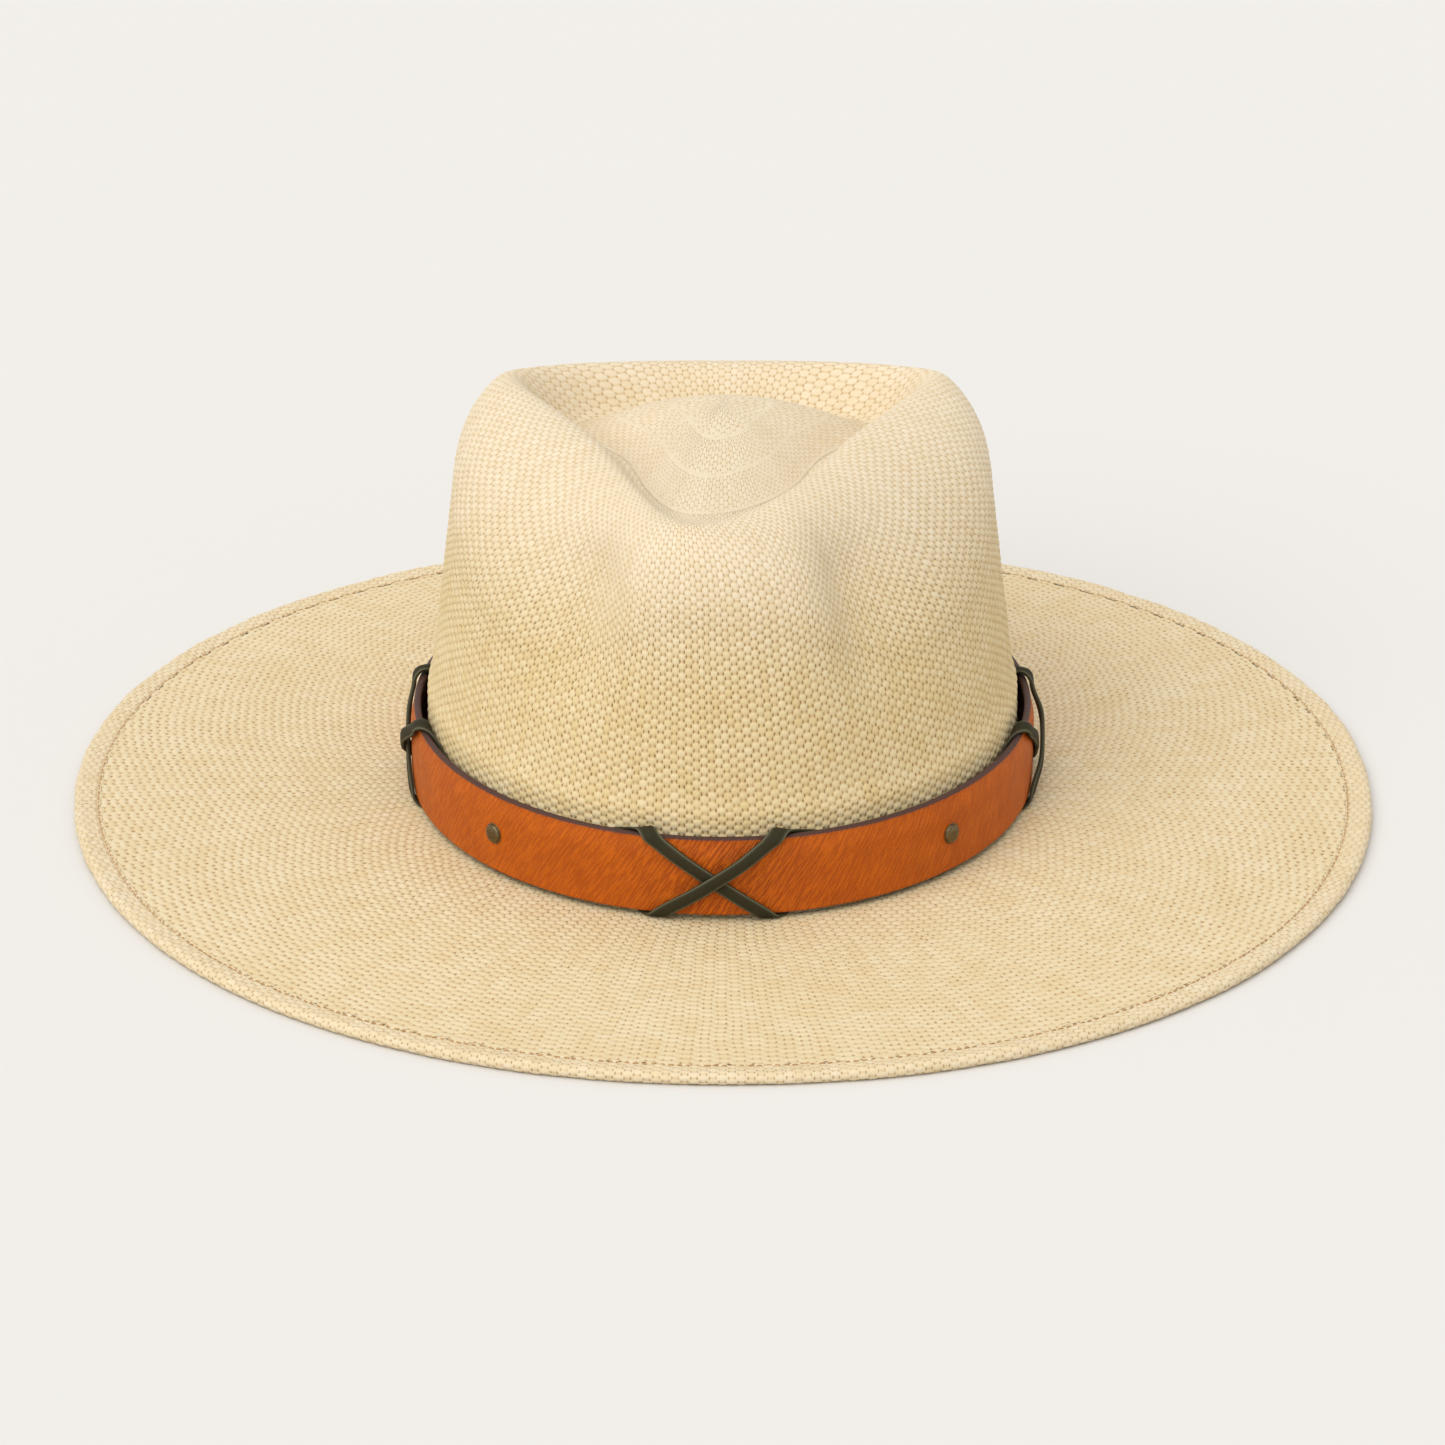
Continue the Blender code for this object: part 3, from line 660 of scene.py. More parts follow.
def straw_look(name, hole_shade_strength, hole_size, pale, gold, high_pale, high_gold, dip_shade_tan):
    """Straw with painted shade: tan in the dips between crossings, brown in the holes beside each strand
    where it shows.
    """
    look = Look(name, 0.55, specular=0.3)
    u, v, uv = look.places()
    strand = look.attribute("strand")
    tone = look.attribute("tone")
    crossing = look.attribute("crossing")
    beside = look.maths("ABSOLUTE", look.maths("SUBTRACT", u, look.maths("ROUND", u)))
    turns = look.maths("SUBTRACT", look.maths("SUBTRACT", v, look.maths("ROUND", u)), 1.0)
    turns = look.maths("MULTIPLY", turns, 0.5)
    away = look.maths("SUBTRACT", turns, look.maths("ROUND", turns))
    away = look.maths("MULTIPLY", away, 2.0 / hole_size[1])
    reach = look.maths("SUBTRACT", look.maths("SUBTRACT", beside, strand), hole_size[0] * 0.6)
    reach = look.maths("DIVIDE", reach, hole_size[0])
    far = look.maths("ADD", look.maths("MULTIPLY", reach, reach), look.maths("MULTIPLY", away, away))
    hole = look.maths("EXPONENT", look.maths("MULTIPLY", far, -1.0))
    uneven = look.noise(uv, 0.55, 2.0, 0.6)
    hole = look.maths("MULTIPLY", hole, look.ranged(uneven, 0.36, 0.62, 0.45, 1.0))
    upper = look.attribute("pale")
    hole = look.maths("MULTIPLY", hole, look.ranged(upper, 0.2, 1.0, 1.0, 0.5))
    fibre = look.noise(look.scaled(uv, (0.9, 8.0, 1.0)), 1.6, 3.0, 0.65)
    patch = look.noise(look.scaled(uv, (0.055, 0.05, 1.0)), 1.0, 3.0, 0.6)
    warm = look.ranged(look.maths("ADD", tone, look.maths("MULTIPLY", patch, 0.9)), 0.45, 1.4)
    low = look.mixed(warm, pale, gold)
    high = look.mixed(warm, high_pale, high_gold)
    colour = look.mixed(upper, low, high)
    # Painted shade in the dips between crossings: low on a crossing the straw turns tan.
    colour = look.mixed(look.ranged(crossing, 0.0, 0.35, dip_shade_tan, 0.0), colour, STRAW_TAN)
    colour = look.mixed(look.ranged(fibre, 0.30, 0.75, 0.22, 0.0), colour, STRAW_TAN)
    # Painted shade in the holes beside each strand.
    colour = look.mixed(look.maths("MULTIPLY", hole, hole_shade_strength), colour, STRAW_GAP_SHADE)
    roughness = look.ranged(fibre, 0.3, 0.7, 0.50, 0.66)
    dips = look.maths("SUBTRACT", look.maths("MULTIPLY", fibre, 0.4), hole)
    return look.finish(colour, roughness, look.bump(dips, 0.00030, 0.9))


def leather_look(name, base, deep, edge, roughness, creased=True, specular=0.35):
    """Grained leather: fine slanting creases with painted shade in them, cloudy colour, and an edge
    colour: darker burnished edges on the strap and sweatband, a painted highlight along the lace's edges.
    """
    look = Look(name, roughness, specular=specular)
    _, _, uv = look.places()
    cloud = look.noise(uv, 0.09, 3.0, 0.55)
    grain = look.noise(uv, 1.6, 4.0, 0.7)
    pores = look.noise(uv, 5.0, 2.0, 0.7)
    colour = look.mixed(look.ranged(cloud, 0.3, 0.7, 0.0, 0.4), base, deep)
    colour = look.mixed(look.ranged(grain, 0.40, 0.62, 0.30, 0.0), colour, deep)
    rises = look.maths("ADD", grain, look.maths("MULTIPLY", pores, 0.5))
    if creased:
        turned_uv = look.add("ShaderNodeVectorRotate", rotation_type="Z_AXIS")
        look.feed(turned_uv.inputs["Vector"], uv)
        turned_uv.inputs["Angle"].default_value = math.radians(-57)
        stretched = look.scaled(turned_uv.outputs[0], (0.16, 1.5, 1.0))
        creases = look.noise(stretched, 1.0, 2.0, 0.6)
        strength = look.attribute("crease")
        # Painted shade in the creases: the crease lines darken towards the deep colour.
        crease_shade = look.maths("MULTIPLY", look.ranged(creases, 0.40, 0.56, 1.0, 0.0), strength)
        colour = look.mixed(crease_shade, colour, deep)
        rises = look.maths("SUBTRACT", rises, look.maths("MULTIPLY", crease_shade, 1.8))
    colour = look.mixed(look.attribute("edge"), colour, edge)
    rough = look.ranged(grain, 0.3, 0.7, roughness + 0.10, roughness - 0.06)
    return look.finish(colour, rough, look.bump(rises, 0.00016, 0.8))


def thread_look(name, colour, deep):
    look = Look(name, 0.7, specular=0.3)
    _, _, uv = look.places()
    twist = look.bands(uv, "DIAGONAL", 1.2)
    shade = look.mixed(twist, deep, colour)
    return look.finish(shade, None, look.bump(twist, 0.0001, 0.5))


def metal_look(name, colour, worn, roughness):
    look = Look(name, roughness, metallic=1.0)
    where = look.own_places()
    cloud = look.noise(where, 900.0, 4.0, 0.65)
    fine = look.noise(where, 4200.0, 2.0, 0.5)
    shade = look.mixed(look.ranged(cloud, 0.40, 0.66), colour, worn)
    rough = look.ranged(fine, 0.3, 0.7, roughness - 0.08, roughness + 0.12)
    return look.finish(shade, rough, look.bump(cloud, 0.00006, 0.5))


def cloth_look(name, light, dark, scale):
    """A fine woven cloth or ribbon, in the piece's own coordinates."""
    look = Look(name, 0.75, specular=0.25)
    where = look.own_places()
    weave = look.maths("MULTIPLY", *(look.bands(where, ribs, scale, 0.4) for ribs in "XZ"))
    shade = look.mixed(look.ranged(weave, 0.0, 0.7), dark, light)
    return look.finish(shade, None, look.bump(weave, 0.00008, 0.7))


def floor_look():
    look = Look("studio_floor", 0.9, specular=0.0)
    where = look.own_places()
    mottle = look.noise(where, 3.0, 2.0)
    shade = look.mixed(mottle, (0.6940, 0.6780, 0.6535), (0.6990, 0.6830, 0.6585))
    return look.finish(shade)


# ---- the straw body


def hem_shape(shaped, normals, angles, into):
    """A groove along the stitches with puckers beside it, and a slightly wavy, lumpy edge."""
    x = angles[None, :] * STRANDS / 360 + STRANDS
    lumps = lattice_noise(x * 2, 24 * into, 32, STRANDS * 2)
    groove = -0.40 * np.exp(-(((into - 0.045) / 0.020) ** 2))
    pucker = 0.12 * np.sin(np.pi * x) * np.exp(-(((into - 0.09) / 0.06) ** 2))
    wave = 0.30 * lattice_noise(x / 2, 3.5, 31, STRANDS // 2)
    edge = (wave + 0.16 * lumps) * np.exp(-(((into - 0.36) / 0.24) ** 2))
    return shaped + normals * (groove + pucker + edge)[..., None]


def build_straw():
    brim_gold = ((0.760, 0.650, 0.430), (0.705, 0.562, 0.320))
    high = ((0.80, 0.700, 0.535), (0.755, 0.635, 0.445))
    crown_gold = ((0.735, 0.620, 0.390), (0.665, 0.525, 0.270))
    # 0.92 and 1.0 set the painted shade in the holes; 0.50 and 0.34 set the painted shade in the dips
    # between crossings.
    crown = straw_look("straw_crown", 0.92, (0.075, 0.36), *crown_gold, *high, 0.50)
    brim = straw_look("straw_brim", 1.0, (0.064, 0.38), *brim_gold, *high, 0.34)
    sheets = build_crown(crown) + build_brim(brim) + build_hem(brim) + build_straw_inside(brim)
    for sheet in sheets:
        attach(sheet, "hat")
        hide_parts("straw_body")


def pitch_of(points, strands):
    """The distance between neighbouring strands, row by row."""
    stride = np.linalg.norm(np.diff(points, axis=1), axis=2)
    return np.sum(stride, axis=1, keepdims=True) / strands


def build_crown(look):
    angles = wrapped(STRANDS * STRAND_COLUMNS)
    dome_steps, bash_steps, side_steps = DOME_ROWS * 2, BASH_ROWS * 4, SIDE_ROWS * 4
    points = crown_grid(angles, dome_steps, bash_steps, side_steps)
    crest = DOME_ROWS + BASH_ROWS
    rows = np.concatenate([
        np.linspace(0, DOME_ROWS, dome_steps + 1),
        np.linspace(DOME_ROWS, crest, bash_steps + 1)[1:],
        np.linspace(crest, BRIM_START, side_steps + 1)[1:],
    ])
    strands = strands_at(rows)[:, None]
    climb = np.clip(1 - (rows - crest) / (0.62 * SIDE_ROWS), 0, 1)[:, None]
    u, v = weave_places(angles, rows, climb, strands)
    strides = np.linalg.norm(np.diff(points, axis=0), axis=2)
    to_foot = np.concatenate([np.cumsum(strides[::-1], axis=0)[::-1], 0 * strides[:1]])
    even = v + (BRIM_START - to_foot / ROW) - rows[:, None]
    v = np.where(rows[:, None] > DOME_ROWS, even, v)
    warp_half = np.clip(0.72 / np.maximum(pitch_of(points, strands), 0.1), 0.24, 0.34)
    deepening = smooth_step((rows - crest + 4) / 36)
    foot = 0.2 + 0.8 * smooth_step((BRIM_START - rows) / 2)
    middle = smooth_step(rows / 4) * (0.5 + 0.5 * smooth_step((rows - DOME_ROWS + 2) / 4))
    ring = (rows / RING_ROWS + 0.5) % 1 - 0.5
    rings = np.where(rows < DOME_ROWS + 1, smooth_step(np.abs(ring) * RING_ROWS / 0.45), 1.0)
    relief = ((0.22 + 0.48 * deepening) * foot * middle * rings)[:, None]
    shaped, values = woven(points, u, v, warp_half, relief)
    values["pale"] = smooth_step((points[..., 2] - 62) / 52)
    values["strand"] = values["strand"] + 5.0 * (1 - rings)[:, None]
    values["crossing"] = np.maximum(values["crossing"], (1 - rings)[:, None])
    made = straw_sheets("straw_dome", slice(0, dome_steps + 1), 1, look, shaped, u, v, values)
    made += straw_sheets("straw_crown", slice(dome_steps, None), 6, look, shaped, u, v, values)
    return made


def build_brim(look):
    angles = wrapped(STRANDS * STRAND_COLUMNS)
    steps = BRIM_ROWS * 3
    points = resampled(outer_sections(angles)[3], steps)
    rows = np.linspace(0, BRIM_ROWS, steps + 1) + BRIM_START
    u, v = weave_places(angles, rows, 0.0, STRANDS)
    warp_half = np.clip(1.0 / pitch_of(points, STRANDS), 0.20, 0.34)
    relief = (0.10 + 0.48 * smooth_step((rows - BRIM_START) / 8))[:, None]
    shaped, values = woven(points, u, v, warp_half, relief)
    values["pale"] = np.full(u.shape, 0.15)
    return straw_sheets("straw_brim", slice(None), 4, look, shaped, u, v, values)


def build_hem(look):
    angles = wrapped(STRANDS * STRAND_COLUMNS)
    steps = HEM_ROWS * 3
    points = resampled(outer_sections(angles)[4], steps)
    rows = np.linspace(0, HEM_ROWS, steps + 1) + BRIM_START + BRIM_ROWS
    u, v = weave_places(angles, rows, 0.0, STRANDS * 2)
    warp_half = np.full((steps + 1, 1), 0.30)
    shaped, values = woven(points, u, v, warp_half, np.full((steps + 1, 1), 0.34))
    into = np.linspace(0, 1, steps + 1)[:, None]
    shaped = hem_shape(shaped, normals_of(points), angles, into)
    # Painted shade along the stitch groove: the crossings are lowered there, so the straw turns tan.
    groove_shade = np.exp(-(((into - 0.045) / 0.016) ** 2))
    values["crossing"] = values["crossing"] * (1 - 0.9 * groove_shade)
    values["pale"] = np.full(u.shape, 0.45)
    return straw_sheets("straw_hem", slice(None), 2, look, shaped, u, v, values)


def build_straw_inside(look):
    """The straw's inner side: inside the crown, under the brim and down to the turned hem's end."""
    angles = wrapped(STRANDS * INNER_STRAND_COLUMNS)
    crown = crown_grid(angles, DOME_ROWS, BASH_ROWS * 2, SIDE_ROWS * 2)
    brim = resampled(outer_sections(angles)[3], BRIM_ROWS * 2)
    whole = np.concatenate([crown, brim[1:]])
    inside = whole - normals_of(whole) * STRAW
    profile = Profile(angles)
    inside[-1] = profile.brim(HEM_WIDTH, HEM_INNER_TOP - STRAW)
    inside = np.concatenate([inside, profile.brim(HEM_WIDTH, 0.0)[None]])[:, ::-1]
    beyond_dome = DOME_ROWS + np.arange(1, len(inside) - DOME_ROWS) / 2
    rows = np.concatenate([np.arange(DOME_ROWS + 1), beyond_dome])
    strands = strands_at(rows)[:, None]
    u, v = weave_places(angles, rows, 0.0, strands)
    relief = (0.24 * smooth_step(rows / 4) * smooth_step((rows[-1] - rows) / 2))[:, None]
    shaped, values = woven(inside, u, v, np.full((len(inside), 1), 0.33), relief)
    values["pale"] = np.full(u.shape, 0.3)
    split = len(crown) - 1
    made = straw_sheets("straw_crown_inside", slice(0, split + 1), 2, look, shaped, u, v, values)
    made += straw_sheets("straw_brim_under", slice(split, None), 2, look, shaped, u, v, values)
    return made


def tube_rings(centres, radii, sides):
    """Rings of points round a path, as a grid of (along, round) points with the seam repeated."""
    along = unit(np.gradient(centres, axis=0))
    across = unit(np.cross(along, UP))
    upright = np.cross(across, along)
    turns = np.linspace(0, 2 * np.pi, sides + 1)
    circle = np.cos(turns)[None, :, None] * across[:, None]
    circle = circle + np.sin(turns)[None, :, None] * upright[:, None]
    return centres[:, None] + circle * radii[:, None, None]


def stitches(name, path, look, stitch, gap, radius, dip):
    """A row of short stitches along a closed path, each plump in the middle and dipping at its ends."""
    along = length_along(path)
    count = int(along[-1] // (stitch + gap))
    sides, rings = 6, 7
    chance = np.random.default_rng(61)
    points, quads, uvs = [], [], []
    for k in range(count):
        start = along[-1] * k / count + chance.uniform(-0.18, 0.18)
        places = np.linspace(start, start + along[-1] / count - gap * chance.uniform(0.8, 1.8), rings)
        centres = np.stack([np.interp(places, along, path[:, axis]) for axis in range(3)], axis=1)
        share = np.linspace(-1, 1, rings)
        centres = centres - UP * (dip * share**4)[:, None]
        sideways = unit(np.cross(centres[-1] - centres[0], UP))
        stray, slant = chance.uniform(-0.10, 0.10), chance.uniform(-0.12, 0.12)
        centres = centres + sideways * (stray + slant * share[:, None])
        radii = radius * np.sqrt(np.clip(1.02 - share**6, 0.02, 1))
        ring = tube_rings(centres, radii, sides)
        index = np.arange(rings * (sides + 1)).reshape(rings, sides + 1) + k * rings * (sides + 1)
        quads.append(quads_of(index.T))
        points.append(ring.reshape(-1, 3))
        grid = np.meshgrid(np.linspace(0, 1, sides + 1), places)
        uvs.append(np.stack([grid[0].ravel(), grid[1].ravel()], axis=1))
    together = np.concatenate(quads)
    starts = np.arange(0, len(together), 4)
    return mesh_object(name, np.concatenate(points), together, starts, np.concatenate(uvs), look)


def build_hem_stitches():
    look = thread_look("hem_thread", (0.58, 0.36, 0.16), (0.42, 0.22, 0.08))
    profile = Profile(wrapped(1440))
    from_hem_end, sink = 0.6, 0.16
    share = from_hem_end / (HEM_WIDTH - HEM_RADIUS)
    height = HEM_INNER_TOP + (2 * HEM_HALF_HEIGHT - HEM_INNER_TOP) * share
    path = profile.brim(HEM_WIDTH - from_hem_end, height - sink)
    made = stitches("hem_stitches", path, look, stitch=1.9, gap=0.55, radius=0.19, dip=0.2)
    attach(made, "hat")
    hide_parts("hem_stitching")


# ---- the hatband


def strap_section():
    """The strap's (offset, height, edge darkness), round from the foot of its outer face."""
    middle = (STRAP_FOOT + STRAP_TOP) / 2
    half_height = (STRAP_TOP - STRAP_FOOT) / 2
    half = STRAP / 2
    corner, bulge = 0.75, 0.12
    outer, inner = half - corner - 0.1, -half + corner
    made = []

    def add_edge(centres, start, side):
        for k, centre in enumerate(centres):
            for t in np.radians(np.linspace(start, start + 90, 5)[1 - k:] + 90 * k):
                high = side * (half_height - corner) + corner * math.sin(t)
                made.append((centre + corner * math.cos(t), high))

    for z in np.linspace(-1, 1, 41) * (half_height - corner):
        made.append((half - bulge * (z / half_height) ** 2, z))
    add_edge((outer, inner), 0, 1)
    for z in np.linspace(1, -1, 9)[1:] * (half_height - corner):
        made.append((-half, z))
    add_edge((inner, outer), 180, -1)
    made[-1] = made[0]
    section = np.array(made)
    top = smooth_step((section[:, 1] - (half_height - 0.85)) / 0.3)
    foot = smooth_step((-section[:, 1] - (half_height - 0.25)) / 0.2)
    flesh = smooth_step((half - 0.9 - section[:, 0]) / 0.4)
    edge = np.maximum(np.maximum(top, foot), flesh)
    return section[:, 0] + (STRAP_INNER + STRAP_OUTER) / 2, section[:, 1] + middle, edge


def strap_lean(height):
    """How far the strap and its laces lean towards the crown near the strap's upper edge."""
    return 0.9 * smooth_step((height - 23.0) / 6.0)


def sweatband_inset(height):
    share = (height - SWEATBAND_FOOT) / (SWEATBAND_TOP - SWEATBAND_FOOT)
    return SWEATBAND_FOOT_INSET + (SWEATBAND_TOP_INSET - SWEATBAND_FOOT_INSET) * share


def build_strap():
    look = leather_look("strap_tan_leather", (0.60, 0.130, 0.001), (0.31, 0.050, 0.001),
                        (0.075, 0.034, 0.026), 0.50, specular=0.22)
    angles = seamed(1281)
    profile = Profile(angles)
    offset, height, edge = strap_section()
    points = np.array([profile.oval(o - strap_lean(h), h) for o, h in zip(offset, height)])
    x = np.broadcast_to(length_along(points[0]), points.shape[:2])
    z = np.broadcast_to(height[:, None], points.shape[:2])
    slant = (x * 0.84 - z * 0.54, x * 0.54 + z * 0.84)
    near_cross = np.exp(-((angles / 16) ** 2))
    creases = lattice_noise(slant[0] / 1.3, slant[1] / 6.0, 41, 4096)
    relief = creases * (0.040 + 0.060 * near_cross) + 0.07 * lattice_noise(x / 9, z / 6, 42, 4096)
    face = np.clip(1 - edge, 0, 1)[:, None]
    points = points + profile.outwards[None] * (relief * face)[..., None]
    ragged = lattice_noise(x / 1.3, z / 40 + 7, 44, 4096)
    border = (edge > 0.02) * (edge < 0.98)
    darkness = np.clip(edge[:, None] + 0.25 * ragged * border[:, None], 0, 1)
    # How strong the painted shade in the creases is, stronger near the laces' crossings.
    strength = (0.50 + 0.40 * near_cross)[None, :] + 0 * x
    values = {"edge": darkness[::-1], "crease": strength[::-1]}
    strap = grid_object("leather_hatband", points[::-1], x[::-1], z[::-1], look, values)
    close_ends(strap)
    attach(strap, "hatband")
    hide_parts("leather_strap")


def close_ends(obj):
    """Welds the seam of a loft and closes its two open ends with faces."""
    work = bmesh.new()
    work.from_mesh(obj.data)
    bmesh.ops.remove_doubles(work, verts=work.verts, dist=0.001 * MM)
    loose = [edge for edge in work.edges if edge.is_boundary]
    if loose:
        bmesh.ops.holes_fill(work, edges=loose, sides=0)
    bmesh.ops.recalc_face_normals(work, faces=work.faces)
    work.to_mesh(obj.data)
    work.free()
    obj.data.set_sharp_from_angle(angle=math.radians(60))


def strap_surface(profile, girth, out):
    """Points on the surface that a lace's middle follows round the strap's section."""
    foot_height = STRAP_FOOT + STRAP / 2
    girth = girth % LACE_GIRTH
    height = foot_height + np.minimum(girth, STRAIGHT)
    turn = np.clip((girth - STRAIGHT) / LACE_BEND, 0, math.pi)
    height = height - np.clip(girth - STRAIGHT - HALF_TURN, 0, STRAIGHT)
    over = np.clip(girth - 2 * STRAIGHT - HALF_TURN, 0, None)
    turn = turn + over / LACE_BEND
    radius = LACE_BEND + out
    height = height + radius * np.sin(turn)
    offset = (STRAP_INNER + STRAP_OUTER) / 2 + radius * np.cos(turn) - strap_lean(height)
    return profile.oval(offset, height)


def crossing_lift(share, flat_and_ramp):
    flat, ramp = flat_and_ramp
    return 1 - smooth_step((np.abs(share - 0.5) - flat) / ramp)


def lace_leg(start, end, steps, lift, crossing, fullness=1.0):
    share = np.arange(steps) / steps
    angle = start[0] + (end[0] - start[0]) * share
    girth = start[1] + (end[1] - start[1]) * share
    raised = lift * crossing_lift(share, crossing)
    return np.stack([angle, girth, raised, np.full(steps, fullness)], axis=1)


def lace_turn(start, end, outside_first, bulge):
    """A half turn over an edge of the strap, standing a little proud on its outer side."""
    share = np.arange(24) / 24
    outside = share if outside_first else 1 - share
    leg = lace_leg(start, end, 24, 0.0, BACK_CROSSING)
    leg[:, 2] = bulge * np.sin(np.pi * np.clip(outside / 0.7, 0, 1)) ** 2
    leg[:, 3] = 1 + (LACE_FULLNESS - 1) * (outside < 0.5) * (bulge > 1)
    return leg


def lace_route(lift, foot_angle, top_angle, foot_bulge, top_bulge):
    """(angle, girth, lift) all round the hat, for the lace that rises to the right in front."""
    route = []
    for i, centre in enumerate(CROSS_ANGLES):
        following = (*CROSS_ANGLES, CROSS_ANGLES[0] + 360.0)[i + 1]
        turn_start = LACE_GIRTH * i
        foot_outside = (centre - foot_angle, turn_start)
        top_outside = (centre + top_angle, turn_start + STRAIGHT)
        top_inside = (top_outside[0] + LACE_WRAP_ANGLE, top_outside[1] + HALF_TURN)
        next_outside = (following - foot_angle, turn_start + LACE_GIRTH)
        foot_inside = (next_outside[0] - LACE_WRAP_ANGLE, next_outside[1] - HALF_TURN)
        front_lift = lift * (1 + 0.3 * (lift > 0))
        route.append(lace_leg(foot_outside, top_outside, 64, front_lift, FRONT_CROSSING, LACE_FULLNESS))
        route.append(lace_turn(top_outside, top_inside, True, top_bulge))
        route.append(lace_leg(top_inside, foot_inside, 160, lift, BACK_CROSSING))
        route.append(lace_turn(foot_inside, next_outside, False, foot_bulge))
    return np.concatenate(route)


def with_neighbours(route):
    """The closed route with its last place put before it and its first place after it."""
    turns = math.copysign(LACE_GIRTH * len(CROSS_ANGLES), route[-1, 1] - route[0, 1])
    whole_turn = np.array([360.0, turns, 0.0, 0.0])
    return np.concatenate([route[-1:] - whole_turn, route, route[:1] + whole_turn])


def rounded(route, passes=30):
    """The closed route with its corners eased."""
    for _ in range(passes):
        padded = with_neighbours(route)
        route = (padded[:-2] + 2 * route + padded[2:]) / 4
    return route


def build_lace(name, node, route, look):
    """A flat lace with rounded edges: its section swept along the route."""
    padded = with_neighbours(route)
    heading = (padded[2:, :2] - padded[:-2, :2]) * np.array([LACE_PACE, 1.0])
    along = unit(heading)
    steps = np.linspace(0, 2 * np.pi, LACE_SECTION_STEPS + 1)
    across = 0.5 * squared_off(np.cos(steps), 0.5)
    out = 0.5 * squared_off(np.sin(steps), 0.5)
    groove = 0.09 * np.exp(-(((np.abs(across) - 0.36) / 0.05) ** 2)) * (out > 0.2)
    rows = []
    for w, o in zip(across, out - groove):
        angles = route[:, 0] - along[:, 1] * w * LACE_WIDTH / LACE_PACE
        girth = route[:, 1] + along[:, 0] * w * LACE_WIDTH
        thickness = LACE * (route[:, 3] if o > 0 else 1.0)
        rows.append(strap_surface(Profile(angles), girth, route[:, 2] + o * thickness))
    points = np.array(rows)
    points = np.concatenate([points, points[:, :1]], axis=1)
    x = np.broadcast_to(length_along(points[0]), points.shape[:2])
    z = np.broadcast_to((across * LACE_WIDTH)[:, None], points.shape[:2])
    # Painted highlight: a paler line along each edge of the lace's outer side, carried in the edge value.
    edge = np.exp(-(((np.abs(across) - 0.44) / 0.045) ** 2)) * smooth_step((out - 0.1) / 0.2)
    darkness = np.broadcast_to(edge[:, None], points.shape[:2])
    lace = grid_object(name, points, x, z, look, {"edge": darkness})
    close_ends(lace)
    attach(lace, "hatband")
    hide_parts(node)


def build_laces():
    # The lace's edge colour is paler than its body: a painted highlight along its edges.
    look = leather_look("lace_olive_leather", (0.032, 0.027, 0.010), (0.018, 0.015, 0.006),
                        (0.13, 0.125, 0.075), 0.68, creased=False, specular=0.2)
    flat_bulge = 0.2 * LACE_BULGE
    over = lace_route(GAP + LACE, CROSS_FOOT_ANGLE, CROSS_TOP_ANGLE, flat_bulge, LACE_BULGE)
    under = lace_route(0.0, CROSS_TOP_ANGLE, CROSS_FOOT_ANGLE, LACE_BULGE, flat_bulge)
    over, under = rounded(over), rounded(under)
    under[:, 1] = STRAIGHT - under[:, 1]
    build_lace("lace_rising_left", "lace_under", under, look)
    build_lace("lace_rising_right", "lace_over", over, look)


def turned(name, rings, sides, look):
    """A turned solid from (radius, height) pairs, top to bottom, with closed ends, about +Z."""
    mesh = bpy.data.meshes.new(name)
    points = [(0.0, 0.0, rings[0][1])]
    for radius, height in rings[1:-1]:
        for k in range(sides):
            turn = 2 * math.pi * k / sides
            points.append((radius * math.cos(turn), radius * math.sin(turn), height))
    points.append((0.0, 0.0, rings[-1][1]))
    faces = [(0, 1 + k, 1 + (k + 1) % sides) for k in range(sides)]
    for ring in range(len(rings) - 3):
        low = 1 + ring * sides
        for k in range(sides):
            after = (k + 1) % sides
            faces.append((low + k, low + sides + k, low + sides + after, low + after))
    last = 1 + (len(rings) - 3) * sides
    faces += [(last + k, len(points) - 1, last + (k + 1) % sides) for k in range(sides)]
    mesh.from_pydata([tuple(c * MM for c in p) for p in points], [], faces)
    mesh.shade_smooth()
    mesh.set_sharp_from_angle(angle=math.radians(50))
    mesh.materials.append(look)
    return linked(name, mesh)


def build_rivets():
    look = metal_look("rivet_antique_brass", (0.125, 0.092, 0.045), (0.21, 0.16, 0.085), 0.34)
    head_radius, head_height, lip = 3.2, 1.5, 0.30
    rings = [(0.0, head_height)]
    for turn in np.linspace(0, 86, 15)[1:]:
        rings.append((
            (head_radius - lip) * math.sin(math.radians(turn)),
            lip + (head_height - lip) * math.cos(math.radians(turn)) ** 0.8,
        ))
    for turn in np.linspace(90, -90, 7):
        rings.append((head_radius - lip + lip * math.cos(math.radians(turn)) * 0.98,
                      lip / 2 + lip / 2 * math.sin(math.radians(turn))))
    rings += [(1.0, 0.0), (1.0, -2.0), (0.0, -2.0)]
    for side, angle in RIVET_ANGLES.items():
        rivet = turned("rivet_head_" + side, rings, 48, look)
        profile = Profile(np.array([angle]))
        face = profile.oval(STRAP_OUTER + 0.04, (STRAP_FOOT + STRAP_TOP) / 2)[0]
        outwards = Vector(profile.outwards[0])
        rivet.matrix_world = outwards.to_track_quat("Z", "Y").to_matrix().to_4x4()
        rivet.location = Vector((face + CENTRE_SHIFT) * MM)
        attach(rivet, "hatband")
        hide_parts("rivet_" + side)


# ---- inside the crown


